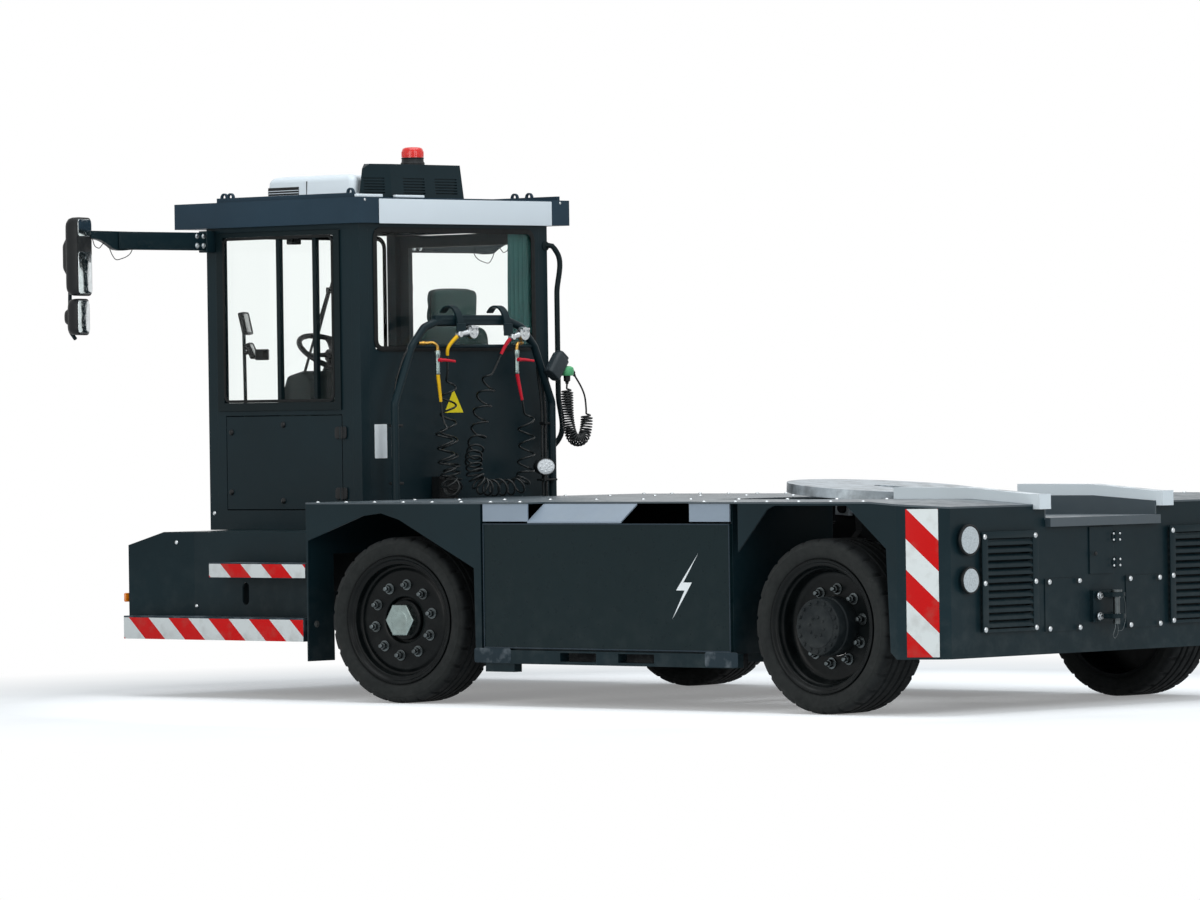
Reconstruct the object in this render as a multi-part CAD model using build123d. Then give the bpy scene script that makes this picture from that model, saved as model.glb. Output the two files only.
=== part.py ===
from build123d import *
from math import atan2, cos, degrees, hypot, pi, radians, sin
import os

os.makedirs("parts", exist_ok=True)

# Electric yard tractor for semi-trailers, in millimetres.
# +X is forward, +Y the vehicle's left and Z = 0 the ground. Parts from the battery boxes back are written
# with X = 0 at the rear axle, and the nose, the cab and the hose rack with X = 0 at the front axle.
# Every node is moved by X_MID at the end, so that X = 0 is the middle of the overall length.

# Driving dimensions
WHEELBASE = 2690
SIDE_Y = 1176            # half width over the side skins
TYRE_R = 392
TYRE_W = 285
PLATE = 8                # folded sheet of the body
DECK_Z = 947             # top of the deck
NOSE_DECK_Z = 803        # top of the nose and of the walkways beside the cab
REAR_X = -662            # outer face of the rear panel
REAR_Y = 1046            # half width of the rear panel
REAR_TOP_Z = 922
REAR_BOTTOM_Z = 252
HITCH_REAR_X = -785
BATTERY_REAR_X = 530
BATTERY_FRONT_X = WHEELBASE - 610
BATTERY_Y = 470          # inner wall of a battery box
REST_STEER = 8           # the front wheels stand turned to the left

# Along the nose and the cab, from the front axle
NOSE_X = 1810            # front face of the nose
FRONT_X = 1833           # front face of the bumper
DECK_FRONT_X = 555       # front edge of the raised deck, and front wall of the front arch
RECESS_Y = 1050          # side skin between the steps
CAB_REAR_X = 685
CAB_FRONT_X = 1750
CAB_Y = 660
POST = 60                # cab posts
ROOF_Z = 2290            # underside of the roof
ROOF_TOP_Z = 2415
ROOF_REAR_X = 661
ROOF_FRONT_X = 1946      # foremost point of the roof
ROOF_LEFT_Y = 690
ROOF_RIGHT_Y = 800
ROOF_WALL = 12
VENT_H = 165
VENT_PLAN = [(705, 410), (705, -93), (746, -100), (870, -100), (870, 430), (746, 595)]
SLOTS = 6
SLOT_PITCH = 14
X_MID = (WHEELBASE + ROOF_FRONT_X + HITCH_REAR_X) / 2

# Fits
RUN = 0.08               # radial clearance of a turning pin
EYE_DRIFT = 2.6          # extra bore of the rod's eye, which wanders round its pin
GAP = 0.5

# Hinges
DOOR_HINGE = (1688, -672)
DOOR_HINGE_Z = (1000, 1500, 2000)
HATCH_HINGE = (820, 669)
HATCH_HINGE_Z = (981, 1276)
REAR_DOOR_HINGE = (REAR_X - 10, -90)
REAR_DOOR_HINGE_Z = (650, 766)

# Wheels
WHEEL_Y = SIDE_Y - TYRE_W / 2
RIM_R = 287
BEAD_Y = TYRE_W / 2 - 24.5
STUD_PCD = 335
STUD_R = 11
STUDS = 10
HUB_R = 133              # planetary hub of the driven wheels
KINGPIN_Y = 850
STEER_ARM = 190
TIE_Z = 276

# Fifth wheel and its boom
PLATE_X = 622
PLATE_R = 455
PLATE_TOP = 1000
PLATE_T = 45
TILT_Z = 905
REST_TILT = 4
KINGPIN_R = 25.6
BOOM_X, BOOM_Z = 1500, 790
BOOM_UP = 22
CYL_A = (1180, 385)      # eye on the chassis
CYL_B = (980, 760)       # eye on the boom

NODES = {}


def box(x0, x1, y0, y1, z0, z1):
    return Pos((x0 + x1) / 2, (y0 + y1) / 2, (z0 + z1) / 2) * Box(abs(x1 - x0), abs(y1 - y0), abs(z1 - z0))


def cyl_x(y, z, x0, x1, r):
    return Pos((x0 + x1) / 2, y, z) * Rot(0, 90, 0) * Cylinder(r, abs(x1 - x0))


def cyl_y(x, z, y0, y1, r):
    return Pos(x, (y0 + y1) / 2, z) * Rot(90, 0, 0) * Cylinder(r, abs(y1 - y0))


def cyl_z(x, y, z0, z1, r):
    return Pos(x, y, (z0 + z1) / 2) * Cylinder(r, abs(z1 - z0))


def prism_y(points, y0, y1):
    face = make_face(Polyline([(x, y0, z) for x, z in points], close=True))
    return extrude(face, amount=y1 - y0, dir=(0, 1, 0))


def prism_z(points, z0, z1):
    face = make_face(Polyline([(x, y, z0) for x, y in points], close=True))
    return extrude(face, amount=z1 - z0, dir=(0, 0, 1))


def prism_x(points, x0, x1):
    face = make_face(Polyline([(x0, y, z) for y, z in points], close=True))
    return extrude(face, amount=x1 - x0, dir=(1, 0, 0))


def ring_y(points):
    # Turned about the Y axis from (radius, y) points
    face = make_face(Polyline([(r, y, 0) for r, y in points], close=True))
    return revolve(face, Axis.Y, 360)


def flip(shape):
    return mirror(shape, Plane.XZ)


def pair(shape):
    return [shape, flip(shape)]


def put(name, *shapes, origin=0):
    move = Pos(origin - X_MID, 0, 0)
    solids = []
    for shape in shapes:
        for one in shape if isinstance(shape, (list, tuple)) else [shape]:
            solids += [move * solid for solid in one.solids()]
    NODES[name] = Compound(children=solids)


def put_front(name, *shapes):
    # For shapes drawn from the front axle
    put(name, *shapes, origin=WHEELBASE)


def tube(points, r, bend):
    # Round bar or pipe along a bent line
    line = FilletPolyline(*points, radius=bend)
    return sweep((line ^ 0) * Circle(r), path=line)


# Chassis
def chassis_frame():
    rail = box(-600, WHEELBASE + 1460, 360, 440, 500, 700)
    frame = rail + flip(rail)
    behind, ahead = WHEELBASE - 640, WHEELBASE + 460
    for x in (-560, 300, behind, ahead, WHEELBASE + 1360):
        frame += box(x - 40, x + 40, -360, 360, 540, 660)
    under_deck = DECK_Z - PLATE
    for x, top in ((-560, 918), (1320, under_deck), (behind, under_deck), (ahead, under_deck)):
        for post in pair(box(x - 40, x + 40, 402, 438, 700, top)):
            frame += post
    # Carrier of the boom pivot
    frame += box(BOOM_X - 70, BOOM_X + 70, -360, 360, 560, 620)
    cheek = box(BOOM_X - 70, BOOM_X + 70, 296, 326, 620, BOOM_Z + 50)
    cheek -= cyl_y(BOOM_X, BOOM_Z, 290, 330, 30 + RUN)
    frame += cheek + flip(cheek)
    # Carrier of the lift cylinder's foot
    ax, az = CYL_A
    frame += box(ax - 50, ax + 50, -360, 360, az - 100, az - 60)
    hanger = box(ax - 50, ax + 50, 330, 360, az - 100, 520)
    lug = box(ax - 35, ax + 35, 55, 80, az - 60, az + 35)
    frame += hanger + flip(hanger) + lug + flip(lug) + cyl_y(ax, az, -80, 80, 20)
    # Bearers of the nose deck and of the cab
    for x in (WHEELBASE + 710, WHEELBASE + 1410):
        frame += box(x - 30, x + 30, -600, 600, 700, NOSE_DECK_Z - PLATE)
    return frame


def front_axle():
    x, z = WHEELBASE, TYRE_R
    beam = box(x - 45, x + 45, -(KINGPIN_Y - 30), KINGPIN_Y - 30, z - 42, z + 42)
    for side in (1, -1):
        beam += cyl_z(x, side * KINGPIN_Y, z - 48, z + 48, 40)
        beam -= cyl_z(x, side * KINGPIN_Y, z - 60, z + 60, 20 + RUN)
        beam += box(x - 60, x + 60, side * 350, side * 450, z + 40, 500)
    return beam


def rear_axle():
    axle = cyl_y(0, TYRE_R, -(WHEEL_Y + 5), WHEEL_Y + 5, 70)
    axle += box(-210, 260, -170, 170, 250, 545)
    for pad in pair(box(-70, 70, 350, 450, TYRE_R, 500)):
        axle += pad
    return axle


# Wheels, built with the outer side towards +Y and the middle plane at Y = 0
def tyre():
    half, wall = TYRE_W / 2, TYRE_R - RIM_R
    side = [(RIM_R, BEAD_Y), (RIM_R + 17, BEAD_Y), (RIM_R + 25, half - 9), (RIM_R + wall / 2, half),
            (TYRE_R - 22, half), (TYRE_R - 4, half - 14), (TYRE_R, half - 30)]
    return ring_y([(r, -y) for r, y in side] + side[::-1])


def rim_barrel():
    lip = BEAD_Y + 13
    side = [(RIM_R - 12, lip), (RIM_R + 14, lip), (RIM_R + 14, BEAD_Y + 0.3), (RIM_R, BEAD_Y + 0.3)]
    return ring_y([(r, -y) for r, y in side] + side[::-1])


def wheel_nuts(face, tip):
    nuts = []
    for i in range(STUDS):
        a = radians(360 / STUDS * (i + 0.5))
        x, z = STUD_PCD / 2 * sin(a), STUD_PCD / 2 * cos(a)
        nut = Pos(x, face + 16, z) * Rot(90, 0, 0) * extrude(RegularPolygon(19, 6), amount=16, both=True)
        nuts.append(nut + cyl_y(x, z, face, tip, STUD_R))
    return nuts


def front_rim():
    face = 84
    wheel = rim_barrel() + cyl_y(0, 0, face - 14, face, RIM_R - 11) + cyl_y(0, 0, -70, face, 95)
    wheel -= cyl_y(0, 0, -75, 50, 40 + RUN)
    wheel += Pos(0, face, 0) * Rot(-90, 0, 0) * extrude(RegularPolygon(84, 6), amount=42)
    for nut in wheel_nuts(face, 130):
        wheel += nut
    return wheel


def rear_rim():
    face = 37
    wheel = rim_barrel() + cyl_y(0, 0, face - 15, face, RIM_R - 11) + cyl_y(0, 0, -70, face, 125)
    wheel += cyl_y(0, 0, face, TYRE_W / 2 + 20, HUB_R)
    wheel -= cyl_y(0, 0, -75, 10, 70 + RUN)
    for nut in wheel_nuts(face, 100):
        wheel += nut
    return wheel


def knuckle():
    x, y, z = WHEELBASE, KINGPIN_Y, TYRE_R
    part = cyl_z(x, y, z - 84, z + 84, 20)
    for low, high in ((z - 84, z - 52), (z + 52, z + 84)):
        part += box(x - 42, x + 42, y - 42, y + 75, low, high)
    part += box(x - 42, x + 42, y + 50, y + 75, z - 84, z + 84)
    part += cyl_y(x, z, y + 70, WHEEL_Y + 46, 40)
    part += box(x - STEER_ARM, x, y - 15, y + 15, z - 84, z - 60)
    part += cyl_z(x - STEER_ARM, y, TIE_Z - 14, z - 60, 10) + cyl_z(x - STEER_ARM, y, z - 84, z - 60, 20)
    return part


def tie_rod():
    x, y = WHEELBASE - STEER_ARM, KINGPIN_Y
    rod = cyl_y(x, TIE_Z, -(y - 15), y - 15, 12)
    for side in (1, -1):
        rod += cyl_z(x, side * y, TIE_Z - 14, TIE_Z + 14, 22)
        rod -= cyl_z(x, side * y, TIE_Z - 20, TIE_Z + 20, 10 + RUN)
    return rod


def turned(shape, side):
    # About the kingpin of one side, by the resting steering angle
    axis = Axis((WHEELBASE, side * KINGPIN_Y, 0), (0, 0, 1))
    return shape.rotate(axis, REST_STEER)


def wheels():
    for end, x, rim in (("front", WHEELBASE, front_rim()), ("rear", 0, rear_rim())):
        rubber = tyre()
        for side, word in ((1, "left"), (-1, "right")):
            spin = 0 if side == 1 else 180
            place = Pos(x, side * WHEEL_Y, TYRE_R) * Rot(0, 0, spin)
            parts = [place * rubber, place * rim]
            if end == "front":
                parts = [turned(one, side) for one in parts]
            put(f"tyre_{end}_{word}", parts[0])
            put(f"rim_{end}_{word}", parts[1])
    left = knuckle()
    put("knuckle_left", turned(left, 1))
    put("knuckle_right", turned(flip(left), -1))
    a = radians(REST_STEER)
    shift = Pos(STEER_ARM - STEER_ARM * cos(a), -STEER_ARM * sin(a), 0)
    put("tie_rod", shift * tie_rod())


# Body
def nose_solid(inset):
    t = inset
    back = DECK_FRONT_X + 5 if t == 0 else DECK_FRONT_X - 20
    plan = [(NOSE_X - t, 1160 - t), (1460 - t / 2, RECESS_Y - t), (back, RECESS_Y - t)]
    plan += [(x, -y) for x, y in plan[::-1]]
    side = [(back, 283 - t), (back, NOSE_DECK_Z - t), (1620, NOSE_DECK_Z - t),
            (NOSE_X, 740 - t), (NOSE_X, 283 - t)]
    return prism_z(plan, 270 - t, 820) & prism_y(side, -1200, 1200)


def nose_body():
    body = nose_solid(0) - nose_solid(PLATE)
    slot = box(1080, 1125, RECESS_Y - 20, RECESS_Y + 20, 474, 537)
    for z in (474, 537):
        slot += cyl_y(1102.5, z, RECESS_Y - 20, RECESS_Y + 20, 22.5)
    for cut in pair(slot):
        body -= cut
    return body


def step(x0, x1, z0, z1, tread):
    # Folded tread with an outer lip, open below
    part = box(x0, x1, RECESS_Y, SIDE_Y, z1 - tread, z1) + box(x0, x1, SIDE_Y - PLATE, SIDE_Y, z0, z1)
    for x in (x0, x1 - PLATE):
        part += box(x, x + PLATE, RECESS_Y, SIDE_Y, z0, z1)
    return part


def bumper_steps():
    parts = pair(step(562, 1227, 585, 657, PLATE) - nose_solid(0))
    parts += pair(step(580, NOSE_X, 283, 395, PLATE) - nose_solid(0))
    parts.append(box(NOSE_X, FRONT_X, -SIDE_Y, SIDE_Y, 283, 395))
    return parts


def front_fender():
    x0, x1 = -602, DECK_FRONT_X
    arch = [(547, 150), (542, 765), (168, 884), (51, 896), (-68, 866), (-556, 641), (-564, 150)]
    skin = box(x0, x1, SIDE_Y - PLATE, SIDE_Y, 205, DECK_Z - PLATE) - prism_y(arch, 1100, 1200)
    front = box(x1 - PLATE, x1, 1000, SIDE_Y, 190, DECK_Z - PLATE)
    front += box(x1 - PLATE, x1, 445, 1000, 700, DECK_Z - PLATE)
    back = box(x0, x0 + PLATE, 445, SIDE_Y, 205, DECK_Z - PLATE)
    return skin + front + back


def battery_box():
    x0, x1, y0, y1 = BATTERY_REAR_X, BATTERY_FRONT_X, BATTERY_Y, SIDE_Y
    low, high = 262, DECK_Z - PLATE
    shell = box(x0, x1, y0, y1 - 20, low, low + PLATE) + box(x0, x1, y0, y0 + PLATE, low, high)
    for x in (x0, x1 - PLATE):
        shell += box(x, x + PLATE, y0, y1 - 20, low, high)
    rail = box(x0 - 20, x1, y1 - 60, y1, 199, low)
    middle = (x0 + x1) / 2
    for a, b in ((58, 284), (-303, -80)):
        rail -= box(middle + a, middle + b, y1 - 70, y1 + 10, 213, 254)
    brace = box(x0, x1, y0, y0 + 60, 199, low)
    foot = box(x1 - 190, x1 - 5, y1 - 60, y1 - 10, 160, 199)
    link = box(x0 + 100, x1 - 100, 440, y0, 560, 640)
    return shell + rail + brace + foot + link


def battery_cover():
    return box(BATTERY_REAR_X + 4, BATTERY_FRONT_X - 4, SIDE_Y - 20, SIDE_Y - 4, 270, 849)


# The deck is cut back over the batteries, where a lid slopes down to the side
TOP_CUT = (BATTERY_REAR_X + 248, BATTERY_FRONT_X - 290)


def battery_top():
    y0, y1, under = 1060, SIDE_Y - 4, DECK_Z - PLATE
    back_x, front_x = TOP_CUT
    slope = [(y1, 858), (y0, under - 1), (y0, under - 9), (y1, 850)]
    lid = prism_x(slope, back_x + 422, front_x)
    front = box(front_x, BATTERY_FRONT_X - 4, y1 - PLATE, y1, 858, under)
    back = box(BATTERY_REAR_X + 4, back_x, y1 - PLATE, y1, 858, under)
    return [lid + front, back]


def rear_plan(t):
    half = [(480, SIDE_Y - t), (-453, SIDE_Y - t), (-630, 1085 - t), (REAR_X + t, REAR_Y + 7 - t)]
    return half + [(x, -y) for x, y in half[::-1]]


def rear_slope(t):
    # Everything above the deck's underside, sloping down behind X = -300
    low = DECK_Z - PLATE - t
    drop = DECK_Z - REAR_TOP_Z
    return prism_y([(500, low), (-300, low), (REAR_X, low - drop), (-720, low - drop), (-720, 1100), (500, 1100)],
                   -1300, 1300)


def rear_body():
    shell = prism_z(rear_plan(0), REAR_BOTTOM_Z, 945) - prism_z(rear_plan(PLATE), 100, 1100)
    shell -= box(470, 490, -1100, 1100, 0, 1100)
    arch = [(481, 100), (481, 721), (305, 912), (262, 930), (-165, 930), (-394, 740), (-414, 284), (-463, 240),
            (-463, 100)]
    shell -= prism_y(arch, 1100, 1250)
    shell -= prism_y(arch, -1250, -1100)
    shell -= rear_slope(0)
    shell -= box(-700, -600, -400, 400, 852, 1000)
    for y in (508, -826):
        shell -= box(-700, -600, y, y + 318, 368, 784)
    shell -= box(-700, -600, -72, 83, 609, 805)
    for z in REAR_DOOR_HINGE_Z:
        shell += hinge_pin(*REAR_DOOR_HINGE, z, REAR_X + 1, REAR_DOOR_HINGE[1] - 14, height=24, r=2.5)
    return shell


def deck():
    z0, z1 = DECK_Z - PLATE, DECK_Z
    front = WHEELBASE + DECK_FRONT_X
    main = box(-300, front, -SIDE_Y, SIDE_Y, z0, z1)
    main += box(front, WHEELBASE + CAB_REAR_X - 12, -620, 620, z0, z1)
    main -= box(153, 1250, -482, 482, z0 - 5, z1 + 5)
    main -= box(-310, 160, -400, 400, z0 - 5, z1 + 5)
    for side in pair(box(*TOP_CUT, 1060, SIDE_Y + 5, z0 - 5, z1 + 5)):
        main -= side
    slope = prism_z(rear_plan(0), 0, 1100) & prism_y(
        [(-300, z0), (-300, z1), (REAR_X, z1 - 25), (REAR_X, z0 - 25)], -1300, 1300)
    slope -= box(-720, -290, -400, 400, 0, 1100)
    plate = main + slope
    # Floor of the channel between the guide rails, with its folded rear lip and side walls
    channel = box(REAR_X, 100, -400, 400, 852, 860) + box(REAR_X - 30, REAR_X, -395, 395, 820, 860)
    wall = prism_y([(100, 852), (100, z1), (-300, z1), (REAR_X, z1 - 25), (REAR_X, 852)], 392, 400)
    return plate + channel + wall + flip(wall)


def guide_rail():
    top = [(153, DECK_Z), (153, 1000), (-278, 998), (-640, 968), (-700, 968), (-700, 900), (REAR_X - GAP, 900),
           (REAR_X - GAP, DECK_Z - 25), (-300, DECK_Z)]
    return prism_y(top, 400, 480)


def grille(y0, y1):
    z0, z1 = 362, 807
    x0, x1 = REAR_X - 6, REAR_X
    frame = box(x0, x1, y0, y1, z0, z1) - box(x0 - 5, x1 + 5, y0 + 39, y1 - 39, z0 + 14, z1 - 30)
    count = 13
    for i in range(count):
        z = z0 + 30 + i * (z1 - z0 - 72) / (count - 1)
        slat = Rot(0, 35, 0) * Box(22, y1 - y0 - 76, 3)
        frame += Pos((x0 + x1) / 2 + 1, (y0 + y1) / 2, z) * slat
    return frame


def rear_cover(y0, y1):
    return box(REAR_X - 4, REAR_X, y0, y1, 352, 588)


def rear_lamps():
    parts = []
    for y, z, r in ((948, 774, 70), (945, 596, 61)):
        parts += pair(cyl_x(y, z, REAR_X - 14, REAR_X, r))
    return parts


def rear_door():
    leaf = box(REAR_X - 6, REAR_X - 0.5, -80, 91, 601, 813)
    for z in REAR_DOOR_HINGE_Z:
        leaf += hinge_barrel(*REAR_DOOR_HINGE, z, REAR_X - 4, REAR_DOOR_HINGE[1] + 22, height=24, r=2.5)
    return leaf


def rear_hitch():
    z_top, z_low = 518, 401
    part = box(REAR_X - 20, REAR_X, -86, 86, 386, 527)
    for z in (z_top - 20, z_low):
        ear = box(-745, REAR_X - 15, -40, 40, z, z + 20) + cyl_z(-745, 0, z, z + 20, 40)
        part += ear - cyl_z(-745, 0, z - 5, z + 25, 15 + RUN)
    return part


def hitch_pin():
    pin = cyl_z(-745, 0, 375, 530, 15) + cyl_z(-745, 0, 519, 530, 26)
    return pin


# Fifth wheel
def at_tilt(shape):
    return shape.rotate(Axis((PLATE_X, 0, TILT_Z), (0, 1, 0)), -REST_TILT)


def lift_boom():
    arm_side = [(BOOM_X + 45, BOOM_Z - 45), (BOOM_X + 45, BOOM_Z + 40), (1100, 830), (700, 830), (662, 940),
                (582, 940), (570, 800), (640, 725), (1300, 725)]
    arm = prism_y(arm_side, 220, 262)
    boom = arm + flip(arm)
    boom += cyl_y(BOOM_X, BOOM_Z, -340, 340, 30)
    boom += box(1250, 1320, -230, 230, 740, 815)
    bx, bz = CYL_B
    boom += cyl_y(bx, bz, -230, 230, 24)
    for side in (1, -1):
        boom += cyl_y(PLATE_X, TILT_Z, side * 255, side * 305, 25)
    return boom


def fifth_wheel():
    z0, z1 = PLATE_TOP - PLATE_T, PLATE_TOP
    plate = cyl_z(PLATE_X, 0, z0, z1, PLATE_R)
    throat = prism_z([(PLATE_X, 52), (PLATE_X - 300, 80), (PLATE_X - 500, 190), (PLATE_X - 500, -190),
                      (PLATE_X - 300, -80), (PLATE_X, -52)], z0 - 5, z1 + 5)
    plate -= throat + cyl_z(PLATE_X, 0, z0 - 5, z1 + 5, 52)
    ear = box(PLATE_X - 40, PLATE_X + 40, 268, 298, TILT_Z - 35, z0)
    ear -= cyl_y(PLATE_X, TILT_Z, 260, 310, 25 + RUN)
    plate += ear + flip(ear)
    jaw = box(PLATE_X - 60, PLATE_X + 90, -120, 120, z0 - 42, z0)
    jaw -= cyl_z(PLATE_X, 0, z0 - 60, z0 + 5, KINGPIN_R)
    return at_tilt(plate + jaw)


def cylinder_frame():
    (ax, az), (bx, bz) = CYL_A, CYL_B
    return hypot(bx - ax, bz - az), degrees(atan2(bz - az, bx - ax))


def along_cylinder(shape):
    # Shapes are drawn along +X from the foot's eye, then laid from eye to eye
    length, angle = cylinder_frame()
    return Pos(CYL_A[0], 0, CYL_A[1]) * Rot(0, -angle, 0) * shape


def lift_barrel():
    part = cyl_x(0, 0, 30, 325, 44) - cyl_x(0, 0, 70, 300, 33) - cyl_x(0, 0, 290, 330, 24 + RUN)
    part += cyl_y(0, 0, -50, 50, 38)
    part -= cyl_y(0, 0, -55, 55, 20 + RUN)
    return along_cylinder(part)


def lift_rod():
    length, angle = cylinder_frame()
    part = cyl_x(0, 0, length - 340, length - 30, 24) + cyl_x(0, 0, length - 340, length - 300, 33 - RUN)
    part += cyl_y(length, 0, -45, 45, 40)
    part -= cyl_y(length, 0, -55, 55, 24 + EYE_DRIFT)
    return along_cylinder(part)


# Upright hinges: the still side carries a pin between two lugs, the moving side a barrel on a strap
def hinge_pin(x, y, z, reach_x, reach_y, height=36, r=5):
    half = height / 2
    part = cyl_z(x, y, z - half - 12, z + half + 12, r)
    for low in (z - half - 12, z + half):
        part += box(*sorted((x, reach_x)), *sorted((y - 2, reach_y)), low, low + 12)
        part += cyl_z(x, y, low, low + 12, r + 4)
    return part


def hinge_barrel(x, y, z, reach_x, reach_y, height=36, r=5):
    half = height / 2 - 0.5
    part = box(*sorted((x, reach_x)), *sorted((y - 2, reach_y)), z - half, z + half)
    part += cyl_z(x, y, z - half, z + half, r + 4)
    return part - cyl_z(x, y, z - 50, z + 50, r + RUN)


# Cab
def cab_frame():
    x0, x1, y = CAB_REAR_X, CAB_FRONT_X, CAB_Y
    inner = y - POST
    frame = box(x0, x1, -y, y, NOSE_DECK_Z, NOSE_DECK_Z + 30)
    for x in (x0, x1 - POST):
        for side in (1, -1):
            frame += box(x, x + POST, side * inner, side * y, NOSE_DECK_Z + 30, ROOF_Z)
    header = box(x0, x1, -y, y, ROOF_Z - 24, ROOF_Z)
    frame += header - box(x0 + POST, x1 - POST, -inner, inner, ROOF_Z - 30, ROOF_Z + 5)
    frame += box(x1 - 40, x1, -inner, inner, 1330, 1370)
    for z in DOOR_HINGE_Z:
        frame += hinge_pin(*DOOR_HINGE, z, DOOR_HINGE[0] + 40, -y + 1)
    return frame


def cab_panels():
    x0, x1, y = CAB_REAR_X, CAB_FRONT_X, CAB_Y
    low, high = NOSE_DECK_Z + 30, ROOF_Z - 24
    rear = box(x0, x0 + 6, -(y - 60), y - 60, low, high) - box(x0 - 5, x0 + 10, -555, 555, 1680, high - 8)
    left = box(x0 + 60, x1 - 60, y - 6, y, low, high)
    left -= box(817, 1675, y - 10, y + 5, 1387, 2263)
    left -= box(817, 1628, y - 10, y + 5, 900, 1365)
    for z in HATCH_HINGE_Z:
        left += hinge_pin(*HATCH_HINGE, z, HATCH_HINGE[0] - 32, y - 1, r=3)
    front = box(x1 - 6, x1, -(y - 60), y - 60, low, 1330)
    return [rear, left, front]


def window_frame():
    x0, x1, z0, z1 = 817.5, 1674.5, 1387.5, 2262.5
    frame = box(x0, x1, CAB_Y - 24, CAB_Y + 8, z0, z1)
    frame -= box(x0 + 40, x1 - 44, CAB_Y - 30, CAB_Y + 12, z0 + 40, z1 - 22)
    for x in (982, 1234):
        frame += box(x, x + 24, CAB_Y - 20, CAB_Y + 4, z0 + 38, z1 - 20)
    return frame


def cab_glass():
    rear = box(CAB_REAR_X + 6, CAB_REAR_X + 11, -575, 575, 1660, ROOF_Z - 24)
    left = box(850, 1640, CAB_Y - 30, CAB_Y - 24, 1420, 2245)
    screen = box(CAB_FRONT_X - 12, CAB_FRONT_X - 6, -(CAB_Y - 60), CAB_Y - 60, 1370, ROOF_Z - 24)
    return [rear, left, screen]


def cab_roof():
    # Folded tray with a closing plate below, and a rail with lifting eyes along each side
    x0, x1, y0, y1, wall = ROOF_REAR_X, ROOF_FRONT_X, -ROOF_RIGHT_Y, ROOF_LEFT_Y, ROOF_WALL
    roof = box(x0, x1, y0, y1, ROOF_Z, ROOF_TOP_Z)
    roof -= box(x0 + wall, x1 - wall, y0 + wall, y1 - wall, ROOF_Z - 1, ROOF_TOP_Z - PLATE)
    roof += box(x0 + 9, x1 - 9, y0 + 9, y1 - 9, ROOF_Z, ROOF_Z + 12)
    for y, eyes in ((y1 - 27, (1615, 1570, 735)), (y0 + 27, (1615, 1010, 910))):
        roof += box(710, 1660, y - 10, y + 10, ROOF_TOP_Z, ROOF_TOP_Z + 22)
        for x in eyes:
            roof += cyl_y(x, ROOF_TOP_Z + 22, y - 6, y + 6, 24) - cyl_y(x, ROOF_TOP_Z + 26, y - 8, y + 8, 12)
    return roof


def cab_door():
    x0, x1 = CAB_REAR_X + 64, CAB_FRONT_X - 64
    leaf = box(x0, x1, -CAB_Y, -(CAB_Y - 30), NOSE_DECK_Z + 34, ROOF_Z - 28)
    leaf -= box(x0 + 60, x1 - 60, -CAB_Y - 5, -(CAB_Y - 40), 1390, ROOF_Z - 88)
    leaf -= box(x0 + 20, x1 - 20, -(CAB_Y - 6), -(CAB_Y - 40), NOSE_DECK_Z + 60, 1340)
    for z in DOOR_HINGE_Z:
        leaf += hinge_barrel(*DOOR_HINGE, z, DOOR_HINGE[0] - 50, -CAB_Y + 1)
    return leaf


def door_glass():
    x0, x1 = CAB_REAR_X + 64, CAB_FRONT_X - 64
    return box(x0 + 50, x1 - 50, -(CAB_Y - 30), -(CAB_Y - 35), 1380, ROOF_Z - 78)


def side_hatch():
    hatch = box(822, 1623, CAB_Y - 4, CAB_Y, 905, 1360)
    for z in HATCH_HINGE_Z:
        hatch += hinge_barrel(*HATCH_HINGE, z, HATCH_HINGE[0] + 40, CAB_Y - 1, r=3)
    return hatch


# Cab interior
SEAT_Y = -70


def seat():
    y0, y1 = SEAT_Y - 240, SEAT_Y + 240
    base = box(830, 1210, SEAT_Y - 170, SEAT_Y + 170, NOSE_DECK_Z + 30, 1180)
    cushion = box(790, 1270, y0, y1, 1180, 1310)
    back = prism_y([(750, 1310), (870, 1310), (830, 1790), (730, 1790)], y0, y1)
    head = box(735, 820, SEAT_Y - 160, SEAT_Y + 160, 1790, 1980)
    return base + cushion + back + head


WHEEL_HUB = (1515, 10, 1665)
COLUMN_LEAN = 30
GRIP_R = 190


def column_place(shape):
    return Pos(*WHEEL_HUB) * Rot(0, -COLUMN_LEAN, 0) * shape


def dashboard():
    # Shelf under the windscreen, console with the steering column, and two screens on a stalk
    board = box(1460, 1700, -590, 590, 1120, 1320)
    hood = [(1460, 1310), (1468, 1540), (1520, 1585), (1630, 1560), (1700, 1400), (1700, 1310)]
    board += prism_y(hood, -220, 240)
    board += box(1510, 1690, -160, 140, NOSE_DECK_Z + 30, 1130)
    board += column_place(cyl_z(0, 0, -250, -40, 32))
    board += cyl_z(1650, 500, 1315, 1800, 9)
    for x, z, tilt, width, height in ((1600, 1760, 12, 190, 118), (1575, 1600, 26, 130, 92)):
        screen = Pos(x, 500, z) * Rot(0, tilt, 0) * Box(26, width, height)
        board += screen + box(x, 1655, 492, 508, z - 8, z + 8)
    return board


def steering_wheel():
    wheel = column_place(Torus(GRIP_R, 13))
    hub = cyl_z(0, 0, -39, 0, 40)
    for a in (90, 210, 330):
        hub += Rot(0, 0, a) * box(20, GRIP_R, -14, 14, -12, 0)
    return wheel + column_place(hub)


def curtain():
    return box(CAB_REAR_X + 17, CAB_REAR_X + 37, -590, -400, 1660, ROOF_Z - 24 - 0.3)


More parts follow.
